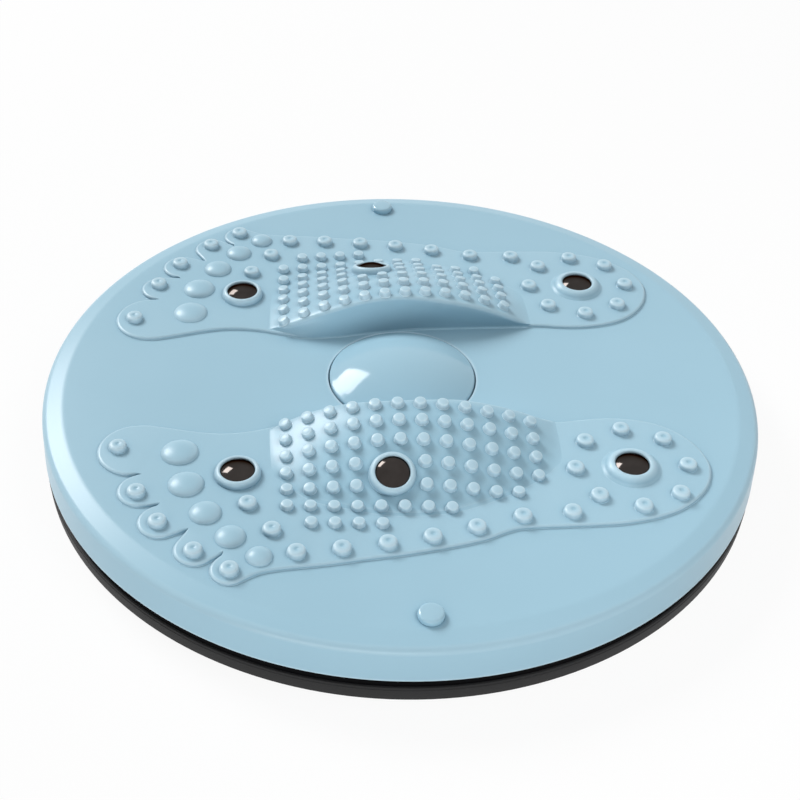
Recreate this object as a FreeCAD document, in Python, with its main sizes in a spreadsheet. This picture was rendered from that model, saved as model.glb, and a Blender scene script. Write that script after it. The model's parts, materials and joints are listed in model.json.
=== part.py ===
import FreeCAD, Part
import itertools
import math
import os
import re
import Sketcher

# A waist twisting disc: a light-blue moulded plate with two raised massage foot shapes turns on a ball race
# over a black base that grips the floor with a soft ring.
# Frame: +Z up, origin on the floor at the spin axis, X along the feet with the toes at -X. All sizes in mm.

doc = FreeCAD.newDocument("waist_twisting_disc")
sheet = doc.addObject("Spreadsheet::Sheet", "sizes")

SIZES = [
    # upper plate: deck, skirt and the soft roll-off between them
    ("plate_radius", 150, "bottom edge of the skirt"),
    ("deck_height", 27, "deck above the floor"),
    ("skirt_edge_height", 10, "bottom edge of the skirt above the floor"),
    ("skirt_draft", 0.8, "lean of the skirt over its height"),
    ("roll_off_width", 11.2, "band where the deck falls to the shoulder"),
    ("roll_off_drop", 1.3, "fall of that band"),
    ("shoulder_radius", 4, "rounding from deck to skirt"),
    ("plate_wall", 3, "wall of the moulding"),
    ("plate_rib_width", 2, "radial ribs below the deck"),
    ("plate_rib_depth", 3, "depth of those ribs"),
    ("plate_rib_count", 12, "number of those ribs"),
    # raised foot shapes
    ("toe_margin", 27.4, "rim to the toe end of the foot shape"),
    ("heel_margin", 32.6, "rim to its heel end"),
    ("foot_inner", 29, "spin axis to its inner edge"),
    ("side_margin", 32.5, "rim to its outer edge"),
    ("relief_height", 1.3, "foot shape above the deck"),
    ("relief_root", 1.2, "depth to which raised forms run into the plate"),
    # arch hump
    ("hump_height", 15, "crest above the foot shape"),
    ("hump_half_length", 57, "middle to each end"),
    ("hump_shift", 2, "middle of the hump along X"),
    ("hump_inner", 33.5, "spin axis to the inner face"),
    ("hump_width", 50, "inner face to the outer foot of the slope"),
    # nubs, domes and magnet collars
    ("nub_radius", 3.6, "large nubs round the foot shape"),
    ("nub_height", 2.4, "large nubs above the foot shape"),
    ("grid_nub_radius", 2.5, "small nubs on the hump"),
    ("grid_nub_height", 2.3, "small nubs above the hump"),
    ("grid_pitch", 8.85, "spacing of the small nubs"),
    ("grid_start", -49.4, "first column of small nubs along X"),
    ("grid_inner", 35.2, "first row of small nubs from the spin axis"),
    ("grid_drift", 0.55, "outward step of the first row from column to column"),
    ("nub_draft", 0.7, "how much each nub narrows to its top"),
    ("dome_height", 2.4, "ball pads above the foot shape"),
    ("heel_ring_radius", 22.4, "ring of nubs round the heel magnet"),
    ("collar_radius", 9, "collar round a magnet"),
    ("heel_collar_radius", 11.2, "wider collar at the heel"),
    ("collar_height", 2.6, "collar above the foot shape"),
    ("collar_draft", 1.1, "how much a collar narrows to its top"),
    # massage magnets and what holds them
    ("magnet_radius", 6.7, "chrome dome"),
    ("magnet_dome_height", 3.2, "dome above its cylinder"),
    ("magnet_stand_out", 1.4, "dome top above the collar"),
    ("magnet_flange_radius", 8, "flange below the wall"),
    ("magnet_flange_height", 1.2, "thickness of that flange"),
    ("magnet_clearance", 0.1, "play round the magnet"),
    ("retainer_height", 1.4, "disc pressed in below the magnet"),
    ("arch_tilt", 23, "outward lean of the arch magnets in degrees"),
    # centre cap and its well
    ("cap_radius", 30.7, "edge of the cap"),
    ("cap_gap", 0.5, "gap round the cap"),
    ("cap_rise", 9, "cap above the deck"),
    ("cap_edge_rise", 0.6, "edge of the cap above the deck"),
    ("cap_wall", 2.2, "wall of the cap"),
    ("cap_seat_depth", 2, "seat of the cap below the deck"),
    ("cap_spigot_length", 2.8, "spigot below the seat"),
    ("nut_well_radius", 28.3, "well for the nut"),
    ("spigot_gap", 0.15, "play of the cap's spigot in the well"),
    # hubs and bolt
    ("well_depth", 5.1, "floor of the nut well below the deck"),
    ("upper_hub_bottom", 14, "underside of the upper hub"),
    ("hub_radius", 14, "both hubs"),
    ("bolt_radius", 4, "shank of the bolt"),
    ("bolt_stand_out", 10.7, "end of the bolt above the floor of the nut well"),
    ("bolt_head_height", 5.3, "hexagon head"),
    ("bolt_head_flats", 13, "across the flats of the head and nut"),
    ("bolt_clearance", 0.1, "play round the bolt and its head"),
    ("sleeve_wall", 2, "bush round the bolt"),
    ("sleeve_flange_radius", 11, "flange of the bush"),
    ("sleeve_flange_height", 1, "thickness of that flange"),
    ("running_fit", 0.08, "play of the upper hub on the bush"),
    ("glide_washer_height", 1, "plastic washer on the upper hub"),
    ("steel_washer_height", 1.6, "washer below the nut"),
    ("washer_radius", 10, "both washers"),
    ("nut_height", 7.5, "lock nut"),
    # ball race
    ("seat_to_land", 1.1, "flange seat of the heel magnet to the land of the race"),
    ("ball_radius", 4, "steel balls"),
    ("ball_count", 16, "number of balls"),
    ("ball_plane", 15, "ball centres above the floor"),
    ("groove_play", 0.2, "ball to groove"),
    ("race_gap", 4.4, "between the two steel rings"),
    ("race_thickness", 3.2, "steel rings"),
    ("race_inner_width", 5.2, "ball circle to the ring's inner edge"),
    ("race_outer_width", 10, "ball circle to the ring's outer edge"),
    ("race_screw_offset", 6.9, "ball circle to the screws"),
    ("land_margin", 0.3, "land of the moulding beyond the ring"),
    ("cage_inner_width", 6.8, "ball circle to the cage's inner edge"),
    ("cage_outer_width", 3.4, "ball circle to the cage's open outer edge"),
    ("cage_height", 2.2, "cage"),
    ("cage_play", 0.3, "ball to pocket"),
    # self-tapping screws of the race
    ("screw_count", 6, "screws in each ring"),
    ("screw_radius", 1.4, "shank"),
    ("screw_length", 6.5, "shank"),
    ("screw_head_radius", 2.5, "hexagon head, over its corners"),
    ("screw_head_height", 1.6, "hexagon head"),
    ("screw_play", 0.05, "play of the shank"),
    # base
    ("rim_inset", 1.2, "black rim behind the skirt above it"),
    ("base_gap", 0.8, "rim to the skirt above it"),
    ("base_web_top", 9, "top of the base's web"),
    ("base_web_height", 2.4, "thickness of the web"),
    ("base_seat_width", 26.8, "solid band inside the rim"),
    ("base_hub_foot_radius", 20, "hub below the web"),
    ("dust_lip_inset", 3.2, "lip inside the skirt, behind the rim"),
    ("dust_lip_wall", 2, "its thickness"),
    ("dust_lip_height", 5, "its rise above the web"),
    ("base_rib_width", 1.8, "radial ribs below the web"),
    ("base_rib_count", 18, "number of those ribs"),
    ("base_rib_lift", 0.4, "ribs end above the seat of the soft ring"),
    # soft ring on the floor
    ("ring_proud", 0.9, "soft ring beyond the rim"),
    ("ring_height", 6.2, "band round the base"),
    ("ring_wall", 2.2, "thickness of the band"),
    ("ring_foot_height", 2.6, "thickness below the base"),
    ("ring_foot_width", 21, "width below the base"),
    # plugs of the rope holes
    ("plug_inset", 15, "rim of the plate to the plugs"),
    ("plug_radius", 5, "head"),
    ("plug_head_height", 1.5, "cylindrical part of the head"),
    ("plug_dome_height", 1.2, "dome on the head"),
    ("plug_top_radius", 3, "flat top of the dome"),
    ("plug_stem_radius", 3.2, "stem through the deck"),
    ("plug_stem_play", 0.1, "play of the stem"),
    ("plug_barb_radius", 3.6, "barb below the deck"),
    ("plug_barb_height", 1.5, "length of the barb"),
    ("overrun", 1, "how far cuts run past a face"),
]

for line, (alias, value, meaning) in enumerate(SIZES, start=1):
    sheet.set(f"A{line}", meaning)
    sheet.set(f"B{line}", str(value))
    sheet.setAlias(f"B{line}", alias)
doc.recompute()


# Helpers

def named(expression):
    """The expression with every size looked up in the sheet."""
    return re.sub(r"[a-z]+(?:_[a-z]+)+|overrun", lambda word: "sizes." + word.group(), expression)


def size(expression):
    """The present value of an expression of sizes."""
    value = sheet.evalExpression(named(expression).replace("sizes.", ""))
    return float(getattr(value, "Value", value))


def bind(thing, **expressions):
    """Ties properties of an object to expressions of sizes."""
    for name, expression in expressions.items():
        thing.setExpression(name, named(expression))
    return thing


def part(kind, name, **expressions):
    """A Part object with its sizes tied to the sheet."""
    return bind(doc.addObject("Part::" + kind, name), **expressions)


def place(thing, x=0, y=0, z=0, tilt=0):
    """Puts an object at a point, leaning about X by an angle in degrees."""
    thing.Placement = FreeCAD.Placement(
        FreeCAD.Vector(x, y, z), FreeCAD.Rotation(FreeCAD.Vector(1, 0, 0), tilt))
    return thing


def raise_to(thing, height):
    """Ties the height of an object's origin to an expression."""
    thing.setExpression("Placement.Base.z", named(height))
    return thing


def fuse(name, things):
    union = doc.addObject("Part::MultiFuse", name)
    union.Shapes = things
    return union


def cut(name, base, tool):
    difference = doc.addObject("Part::Cut", name)
    difference.Base = base
    difference.Tool = tool
    return difference


def mirrored(name, source):
    """The same form on the other side of the XZ plane."""
    copy = doc.addObject("Part::Mirroring", name)
    copy.Source = source
    copy.Normal = FreeCAD.Vector(0, 1, 0)
    return copy


def group(name, things):
    """Separate solids that share one node."""
    compound = doc.addObject("Part::Compound", name)
    compound.Links = things
    return compound


def new_body(name):
    body = doc.addObject("PartDesign::Body", name)
    body.Label = name
    return body


def sketch_on(body, role, name, height=None):
    """A sketch on one of the body's origin planes, raised along its normal by an expression."""
    sketch = body.newObject("Sketcher::SketchObject", name)
    plane = [item for item in body.Origin.OriginFeatures if item.Role == role][0]
    sketch.AttachmentSupport = (plane, [""])
    sketch.MapMode = "FlatFace"
    if height:
        sketch.setExpression("AttachmentOffset.Base.z", named(height))
    return sketch


def pin_point(sketch, line, end, across, up):
    """Fixes the end of a line at two expressions from the sketch's origin."""
    for direction, expression in (("DistanceX", across), ("DistanceY", up)):
        index = sketch.addConstraint(
            Sketcher.Constraint(direction, -1, 1, line, end, size(expression)))
        sketch.setExpression(f"Constraints[{index}]", named(expression))


def outline(sketch, corners):
    """A closed profile of straight lines through corners given as expressions."""
    points = [FreeCAD.Vector(size(across), size(up), 0) for across, up in corners]
    first = sketch.GeometryCount
    count = len(points)
    for index in range(count):
        sketch.addGeometry(Part.LineSegment(points[index], points[(index + 1) % count]), False)
    for index in range(count):
        following = first + (index + 1) % count
        sketch.addConstraint(Sketcher.Constraint("Coincident", first + index, 2, following, 1))
    for index, (across, up) in enumerate(corners):
        pin_point(sketch, first + index, 1, across, up)


def circle(sketch, radius, across="0", up="0"):
    """A circle whose radius and centre are expressions."""
    centre = FreeCAD.Vector(size(across), size(up), 0)
    index = sketch.addGeometry(Part.Circle(centre, FreeCAD.Vector(0, 0, 1), size(radius)), False)
    constraint = sketch.addConstraint(Sketcher.Constraint("Radius", index, size(radius)))
    sketch.setExpression(f"Constraints[{constraint}]", named(radius))
    if across == "0" and up == "0":
        sketch.addConstraint(Sketcher.Constraint("Coincident", index, 3, -1, 1))
    else:
        pin_point(sketch, index, 3, across, up)


def turned(body, corners, name="profile", feature="Revolution"):
    """Turns a closed profile, drawn as radius and height, round the Z axis."""
    sketch = sketch_on(body, "XZ_Plane", name)
    outline(sketch, corners)
    solid = body.newObject("PartDesign::" + feature, name + "_turned")
    solid.Profile = sketch
    solid.ReferenceAxis = (sketch, ["V_Axis"])
    solid.Angle = 360
    doc.recompute()
    return solid


def padded(body, sketch, length, name, reverse=False):
    pad = body.newObject("PartDesign::Pad", name)
    pad.Profile = sketch
    pad.Reversed = reverse
    pad.setExpression("Length", named(length))
    doc.recompute()
    return pad


def pocketed(body, sketch, length, name, upward=True):
    """Cuts upward or downward from a sketch and makes sure that material went."""
    before = body.Shape.Volume
    pocket = body.newObject("PartDesign::Pocket", name)
    pocket.Profile = sketch
    pocket.Reversed = upward
    pocket.setExpression("Length", named(length))
    doc.recompute()
    if body.Shape.Volume >= before:
        raise RuntimeError(name + " cuts nothing")
    return pocket


def ring_of(body, feature, count, name):
    """Repeats a feature evenly round the Z axis."""
    pattern = body.newObject("PartDesign::PolarPattern", name)
    pattern.Originals = [feature]
    axis = [item for item in body.Origin.OriginFeatures if item.Role == "Z_Axis"][0]
    pattern.Axis = (axis, [""])
    pattern.Angle = 360
    pattern.setExpression("Occurrences", named(count))
    body.Tip = pattern
    doc.recompute()
    return pattern


def rib(body, name, inner, outer, width, bottom, depth, count):
    """Radial ribs: one bar along X, padded up from its bottom, then repeated round the axis."""
    sketch = sketch_on(body, "XY_Plane", name, bottom)
    half = f"({width}) / 2"
    outline(sketch, [(inner, f"-{half}"), (outer, f"-{half}"), (outer, half), (inner, half)])
    bar = padded(body, sketch, depth, name + "_bar")
    return ring_of(body, bar, count, name + "_ring")


def polar(radius, angle):
    """X and Y of a point on a circle about the Z axis."""
    return radius * math.cos(angle), radius * math.sin(angle)


Z_UP = FreeCAD.Vector(0, 0, 1)
DOME_SHARES = [(1, 0), (0.75, 0.5), (0.3, 1)]


def stand(thing, point, upward=Z_UP):
    """Puts an object at a point with its own Z axis turned upward."""
    thing.Placement = FreeCAD.Placement(point, FreeCAD.Rotation(Z_UP, upward))
    return thing


def flat_faced(faces):
    """A closed solid from flat faces, each given by its corners."""
    shell = Part.makeShell([Part.Face(Part.makePolygon(corners + corners[:1])) for corners in faces])
    shell.sewShape()
    solid = Part.makeSolid(shell)
    if solid.Volume < 0:
        solid.reverse()
    return solid


def tapered(name, sides, radius, top_radius, height, point, upward=Z_UP):
    """A form on a regular outline that narrows evenly from one radius to another."""
    def level(reach, distance):
        turns = [2 * math.pi * side / sides for side in range(sides)]
        return [FreeCAD.Vector(*polar(reach, turn), distance) for turn in turns]
    low, high = level(size(radius), 0), level(size(top_radius), size(height))
    walls = [[low[side - 1], low[side], high[side], high[side - 1]] for side in range(sides)]
    form = doc.addObject("Part::Feature", name)
    form.Shape = flat_faced([low, high] + walls)
    return stand(form, point, upward)


def dome(name, sides, radius, height, point, upward=Z_UP):
    """The tapered steps of a shallow dome, from its foot to a small flat top."""
    steps = []
    for (wide, low), (narrow, high) in zip(DOME_SHARES, DOME_SHARES[1:]):
        foot = point + upward * (low * size(height))
        steps.append(tapered(f"{name}_step_{len(steps) + 1}", sides, f"({radius}) * {wide}",
                             f"({radius}) * {narrow}", f"({height}) * {high - low}", foot, upward))
    return steps


# Foot shape: its length and breadth follow the plate, and its places are given as shares of both

FOOT_LENGTH = "(2 * plate_radius - toe_margin - heel_margin)"
FOOT_BREADTH = "(plate_radius - side_margin - foot_inner)"


def foot_spot(along_share, across_share):
    """Expressions for X and Y of a point given as shares of the foot's length and breadth."""
    return (f"(toe_margin - plate_radius + {FOOT_LENGTH} * {along_share})",
            f"(foot_inner + {FOOT_BREADTH} * {across_share})")


def foot_place(along_share, across_share):
    """X and Y of such a point."""
    return tuple(size(expression) for expression in foot_spot(along_share, across_share))


# Circles round the spin axis. The ball race runs just outside the seats of the heel magnets.

HEEL_SHARE = (0.868, 0.382)
HEEL_X, HEEL_Y = foot_spot(*HEEL_SHARE)
HEEL_SEAT = f"(sqrt({HEEL_X} * {HEEL_X} + {HEEL_Y} * {HEEL_Y}) + magnet_flange_radius + magnet_clearance)"
RACE = f"({HEEL_SEAT} + seat_to_land + land_margin + race_inner_width)"
RIM = "(plate_radius - rim_inset)"
RING = f"({RIM} + ring_proud)"
DUST_LIP = f"({RIM} - dust_lip_inset)"
PLUG_PLACE = "(plate_radius - plug_inset)"

# Upper plate: the shell, turned as one profile with its cap well, hub and race land

LAND_INNER = f"{RACE} - race_inner_width - land_margin"
LAND_OUTER = f"{RACE} + race_outer_width + land_margin"
UPPER_LAND = "ball_plane + race_gap / 2 + race_thickness"
LOWER_LAND = "ball_plane - race_gap / 2 - race_thickness"
DECK_EDGE = "plate_radius - skirt_draft - roll_off_width"
DECK_UNDER = "deck_height - plate_wall"
SKIRT_TOP = "plate_radius - skirt_draft"
SHOULDER_TOP = "deck_height - roll_off_drop"
WELL_FLOOR = "(deck_height - well_depth)"
HUB_BORE = "bolt_radius + bolt_clearance + sleeve_wall + running_fit"

shell = new_body("shell")
turned(shell, [
    (HUB_BORE, "upper_hub_bottom"),
    (HUB_BORE, WELL_FLOOR),
    ("nut_well_radius", WELL_FLOOR),
    ("nut_well_radius", "deck_height - cap_seat_depth"),
    ("cap_radius + cap_gap", "deck_height - cap_seat_depth"),
    ("cap_radius + cap_gap", "deck_height"),
    (DECK_EDGE, "deck_height"),
    (f"{SKIRT_TOP} - shoulder_radius", SHOULDER_TOP),
    (f"{SKIRT_TOP} - shoulder_radius * (1 - cos(45))", f"{SHOULDER_TOP} - shoulder_radius * (1 - cos(45))"),
    (SKIRT_TOP, f"{SHOULDER_TOP} - shoulder_radius"),
    ("plate_radius", "skirt_edge_height"),
    ("plate_radius - plate_wall", "skirt_edge_height"),
    ("plate_radius - skirt_draft - plate_wall", "deck_height - roll_off_drop - plate_wall"),
    (DECK_EDGE, DECK_UNDER),
    (LAND_OUTER, DECK_UNDER),
    (LAND_OUTER, UPPER_LAND),
    (LAND_INNER, UPPER_LAND),
    (LAND_INNER, DECK_UNDER),
    ("cap_radius + cap_gap + plate_wall", DECK_UNDER),
    ("cap_radius + cap_gap + plate_wall", WELL_FLOOR + " - plate_wall"),
    ("hub_radius", WELL_FLOOR + " - plate_wall"),
    ("hub_radius", "upper_hub_bottom"),
])
rib(shell, "plate_rib", "cap_radius + cap_gap + plate_wall / 2", LAND_INNER + " + overrun",
    "plate_rib_width", DECK_UNDER + " - plate_rib_depth", "plate_rib_depth + overrun", "plate_rib_count")

# Foot shape: everything below is made for the foot at +Y and mirrored for the other one

# Outline of the sole as shares of the foot's length from the toe end and of its breadth from the inner edge
SOLE_SHARES = [
    (0.061, 0.005), (0.124, 0.032), (0.186, 0.068), (0.253, 0.058), (0.38, 0.05), (0.5, 0.05), (0.64, 0.05),
    (0.76, 0.054), (0.828, 0.032), (0.886, 0.038), (0.944, 0.094), (0.988, 0.243), (1.0, 0.373),
    (0.986, 0.514), (0.944, 0.627), (0.886, 0.696), (0.819, 0.725), (0.72, 0.73), (0.657, 0.741),
    (0.594, 0.802), (0.511, 0.856), (0.407, 0.89), (0.303, 0.922), (0.24, 0.955)]
TOE_ROOT_SHARES = [(0.24, 0.955), (0.195, 0.81), (0.14, 0.66), (0.1, 0.5), (0.078, 0.33), (0.061, 0.005)]
# Each toe: place along and across the foot, and radius, as shares of the foot's length, breadth and length
TOE_SHARES = [(0.059, 0.17, 0.0613), (0.071, 0.43, 0.0383), (0.109, 0.63, 0.0358),
              (0.165, 0.797, 0.0333), (0.218, 0.918, 0.03)]


relief_bottom = size("deck_height - relief_root")
relief_top = size("deck_height + relief_height")


def smooth_line(shares, height):
    curve = Part.BSplineCurve()
    curve.interpolate([FreeCAD.Vector(*foot_place(*share), height) for share in shares])
    return curve.toShape()


sole = doc.addObject("Part::Feature", "sole")
sole_wire = Part.Wire([smooth_line(shares, relief_bottom) for shares in (SOLE_SHARES, TOE_ROOT_SHARES)])
sole.Shape = Part.Face(sole_wire).extrude(FreeCAD.Vector(0, 0, relief_top - relief_bottom))

raised = [sole]
for number, (along, across, radius_share) in enumerate(TOE_SHARES, start=1):
    toe = part("Cylinder", f"toe_{number}", Radius=f"{FOOT_LENGTH} * {radius_share}",
               Height="relief_height + relief_root")
    raised.append(raise_to(place(toe, *foot_place(along, across)), "deck_height - relief_root"))

# Arch hump: sections across the foot at shares of the hump's half length. The crest follows a parabola.
# The inner face leans: its foot and its crest are offset by shares of the hump's height.
STATION_SHARES = [-1, -0.75, -0.5, -0.25, 0, 0.25, 0.5, 0.75, 1]
FACE_FOOT_SHARES = [-0.11, -0.33, -0.3, -0.15, -0.05, 0, 0, 0, 0]
FACE_CREST_SHARES = [0, -0.02, 0.02, 0.16, 0.2, 0.14, 0.05, 0.01, 0]
WIDTH_SHARES = [0.6, 0.87, 0.96, 1, 1, 0.98, 0.88, 0.72, 0.52]
SLOPE_SHARES = [1, 0.85, 0.7, 0.55, 0.4, 0.28, 0.16, 0.08, 0]
SLOPE_POWER = 1.5


def along_hump(shares, station):
    """A share between two stations, read off in a straight line."""
    station = max(-1, min(1, station))
    for index in range(len(STATION_SHARES) - 1):
        low, high = STATION_SHARES[index], STATION_SHARES[index + 1]
        if station <= high:
            weight = (station - low) / (high - low)
            return shares[index] * (1 - weight) + shares[index + 1] * weight
    return shares[-1]


def hump_edges(station):
    """Inner foot, crest and outer foot of the hump's section, as distances from the spin axis."""
    foot = size("hump_inner") + size("hump_height") * along_hump(FACE_FOOT_SHARES, station)
    crest = size("hump_inner") + size("hump_height") * along_hump(FACE_CREST_SHARES, station)
    return foot, crest, crest + size("hump_width") * along_hump(WIDTH_SHARES, station)


def hump_rise(station, share):
    """Height of the slope above the foot shape at a share of the way from crest to outer foot."""
    return size("hump_height") * max(0, 1 - station ** 2) * max(0, 1 - share ** 2) ** SLOPE_POWER


def hump_height_at(x, y):
    """Height of the hump above the foot shape at a point."""
    station = (x - size("hump_shift")) / size("hump_half_length")
    if abs(station) >= 1:
        return 0
    foot, crest, outer = hump_edges(station)
    return hump_rise(station, max(0, min(1, (y - crest) / (outer - crest))))


def hump_upward(x, y):
    """Direction square to the hump, from its heights one small nub away on each side."""
    reach = size("grid_nub_radius")
    along = hump_height_at(x + reach, y) - hump_height_at(x - reach, y)
    across = hump_height_at(x, y + reach) - hump_height_at(x, y - reach)
    return FreeCAD.Vector(-along, -across, 2 * reach).normalize()


def hump_section(station, bottom):
    """Closed section of the hump from a height up: a leaning inner face and a smooth outer slope."""
    x = size("hump_shift") + size("hump_half_length") * station
    foot, crest, outer = hump_edges(station)
    slope = [FreeCAD.Vector(x, crest + (outer - crest) * share, relief_top + hump_rise(station, share))
             for share in SLOPE_SHARES]
    foot_inside = FreeCAD.Vector(x, foot, bottom)
    foot_outside = FreeCAD.Vector(x, outer, bottom)
    curve = Part.BSplineCurve()
    curve.interpolate(slope)
    return Part.Wire([
        Part.makeLine(foot_inside, foot_outside), Part.makeLine(foot_outside, slope[0]),
        curve.toShape(), Part.makeLine(slope[-1], foot_inside)])


def hollow_section(station, bottom, wall):
    """Closed section of the space below the hump, a wall inside its surface and with straight sides."""
    x = size("hump_shift") + size("hump_half_length") * station
    foot, crest, outer = hump_edges(station)
    inside = foot + wall
    outside = outer - 2 * wall  # the slope is thin towards its foot, so the hollow stops well short of it
    corners = [FreeCAD.Vector(x, inside, bottom), FreeCAD.Vector(x, outside, bottom)]
    for share in HOLLOW_SHARES:
        y = crest + wall + (outside - crest - wall) * share
        corners.append(FreeCAD.Vector(x, y, relief_top - wall + hump_height_at(x, y)))
    return Part.makePolygon(corners + corners[:1])


HOLLOW_SHARES = [1, 0.66, 0.33, 0]
hump = doc.addObject("Part::Feature", "hump")
hump.Shape = Part.makeLoft([hump_section(station, relief_bottom) for station in STATION_SHARES], True)
raised.append(hump)

hollow = doc.addObject("Part::Feature", "hump_hollow")
hollow.Shape = Part.makeLoft(
    [hollow_section(station, size(DECK_UNDER), size("plate_wall")) for station in STATION_SHARES[1:-1:2]],
    True, True)

PAD_SIDES = 12
NUB_SIDES = 8
ROUND_SIDES = 16
HEX_SIDES = 6

# Ball pads behind the toes: place along and across the foot, and radius as a share of its length
PAD_SHARES = [(0.132, 0.195, 0.0308), (0.146, 0.41, 0.0292), (0.178, 0.59, 0.0256),
              (0.218, 0.732, 0.0242), (0.262, 0.852, 0.0208)]
for number, (along, across, radius_share) in enumerate(PAD_SHARES, start=1):
    foot = FreeCAD.Vector(*foot_place(along, across), relief_top)
    raised += dome(f"ball_pad_{number}", PAD_SIDES, f"{FOOT_LENGTH} * {radius_share}", "dome_height", foot)

# Large nubs: one on each toe, a row along the outer edge and a ring round the heel magnet
TOE_NUB_SHARES = [(0.031, 0.162), (0.069, 0.453), (0.106, 0.64), (0.163, 0.817), (0.218, 0.935)]
EDGE_NUB_SHARES = [(0.244, 0.548), (0.281, 0.71), (0.318, 0.845), (0.388, 0.832), (0.458, 0.81),
                   (0.528, 0.78), (0.598, 0.732), (0.672, 0.675), (0.753, 0.658)]
HEEL_NUBS = 8


def heel_ring():
    """Places of the nubs round the heel magnet."""
    x, y = foot_place(*HEEL_SHARE)
    for index in range(HEEL_NUBS):
        across, along = polar(size("heel_ring_radius"), 2 * math.pi * index / HEEL_NUBS)
        yield x + across, y + along


def nub(name, point, upward, radius, height):
    """A drafted nub that stands on a point and runs a little into the form below it."""
    root = "(relief_height + relief_root)"
    return tapered(name, NUB_SIDES, radius, f"{radius} - nub_draft", f"{height} + {root}",
                   point - upward * size(root), upward)


large_places = [foot_place(*share) for share in TOE_NUB_SHARES + EDGE_NUB_SHARES] + list(heel_ring())
for number, (x, y) in enumerate(large_places, start=1):
    point = FreeCAD.Vector(x, y, relief_top)
    raised.append(nub(f"nub_{number}", point, Z_UP, "nub_radius", "nub_height"))

# Small nubs on the hump: rows present in each column, counted outward from the crest
GRID_ROWS = [range(6), range(7), range(7), range(7), (0, 1, 2, 5, 6), (0, 1, 2, 5),
             range(6), range(6), range(5), range(5), range(5), range(4)]
LAST_DRIFTING_COLUMN = 9
for column, rows in enumerate(GRID_ROWS):
    for row in rows:
        x = size("grid_start") + size("grid_pitch") * column
        y = size("grid_inner") + size("grid_pitch") * row
        y += size("grid_drift") * min(column, LAST_DRIFTING_COLUMN)
        point = FreeCAD.Vector(x, y, relief_top + hump_height_at(x, y))
        raised.append(nub(f"grid_nub_{column + 1}_{row + 1}", point, hump_upward(x, y), "grid_nub_radius",
                          "grid_nub_height"))

# Magnets: place on the foot, collar radius and lean. Each has a collar, a hole and its own retainer.
ARCH_SHARE = (0.473, 0.457)
MAGNETS = [("toe", (0.227, 0.355), "collar_radius", "0"),
           ("arch", ARCH_SHARE, "collar_radius", "arch_tilt"),
           ("heel", HEEL_SHARE, "heel_collar_radius", "0")]
HOLE_RADIUS = "magnet_radius + magnet_clearance"
WALL_DEPTH = "(plate_wall + relief_height)"


def magnet_seat(share, lean):
    """Centre of a magnet on the surface of the foot shape, and the direction of its axis."""
    x, y = foot_place(*share)
    angle = math.radians(size(lean))
    surface = FreeCAD.Vector(x, y, relief_top + hump_height_at(x, y))
    return surface, FreeCAD.Vector(0, math.sin(angle), math.cos(angle))


holes = [hollow]
for name, share, collar_radius, lean in MAGNETS:
    centre, upward = magnet_seat(share, lean)
    root = f"(relief_root + ({collar_radius}) * tan({lean}))"
    raised.append(tapered(f"{name}_collar", ROUND_SIDES, collar_radius, f"{collar_radius} - collar_draft",
                          f"collar_height + {root}", centre - upward * size(root), upward))
    hole = part("Cylinder", f"{name}_hole", Radius=HOLE_RADIUS,
                Height=f"{WALL_DEPTH} + collar_height + 2 * overrun")
    holes.append(stand(hole, centre - upward * size(WALL_DEPTH + " + overrun"), upward))
    seat_depth = "magnet_flange_height + retainer_height + overrun"
    seat = part("Cylinder", f"{name}_flange_seat", Radius="magnet_flange_radius + magnet_clearance",
                Height=seat_depth)
    holes.append(stand(seat, centre - upward * size(f"{WALL_DEPTH} + {seat_depth}"), upward))

foot_at_back = fuse("foot_at_back", raised)
foot_at_front = mirrored("foot_at_front", foot_at_back)
holes_at_back = fuse("holes_at_back", holes)
holes_at_front = mirrored("holes_at_front", holes_at_back)

rope_holes = []
for side, direction in (("back", 1), ("front", -1)):
    hole = part("Cylinder", f"{side}_rope_hole", Radius="plug_stem_radius + plug_stem_play",
                Height="plate_wall + 2 * overrun")
    hole.setExpression("Placement.Base.y", named(f"{direction} * {PLUG_PLACE}"))
    rope_holes.append(raise_to(hole, DECK_UNDER + " - overrun"))


def pilot_holes(name, bottom):
    """Holes for the race screws, from a height up."""
    made = []
    for index in range(int(size("screw_count"))):
        hole = part("Cylinder", f"{name}_{index + 1}", Radius="screw_radius + screw_play",
                    Height="screw_length - race_thickness")
        x, y = polar(size(f"{RACE} + race_screw_offset"), 2 * math.pi * (index + 0.5) / size("screw_count"))
        place(hole, x, y)
        made.append(raise_to(hole, bottom))
    return made


plate_form = fuse("plate_form", [shell, foot_at_back, foot_at_front])
plate_holes = fuse("plate_holes", [holes_at_back, holes_at_front] + rope_holes + pilot_holes(
    "upper_pilot", UPPER_LAND))
top_plate = cut("top_plate", plate_form, plate_holes)

# Massage magnets and retainers

SIDES = (("left", -1), ("right", 1))


def massage_magnet(name, centre, upward):
    """A chrome dome on a stem, held from below by its flange."""
    def level(distance):
        return centre + upward * size(distance)
    flange_foot = f"-{WALL_DEPTH} - magnet_flange_height"
    dome_foot = "collar_height + magnet_stand_out - magnet_dome_height"
    flange = part("Prism", name + "_flange", Circumradius="magnet_flange_radius",
                  Height="magnet_flange_height")
    stem = part("Prism", name + "_stem", Circumradius="magnet_radius",
                Height=f"{WALL_DEPTH} + {dome_foot}")
    for prism, foot in ((flange, flange_foot), (stem, f"-{WALL_DEPTH}")):
        prism.Polygon = ROUND_SIDES
        stand(prism, level(foot), upward)
    steps = dome(name + "_dome", ROUND_SIDES, "magnet_radius", "magnet_dome_height", level(dome_foot),
                 upward)
    return fuse(name, [flange, stem] + steps)


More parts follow.
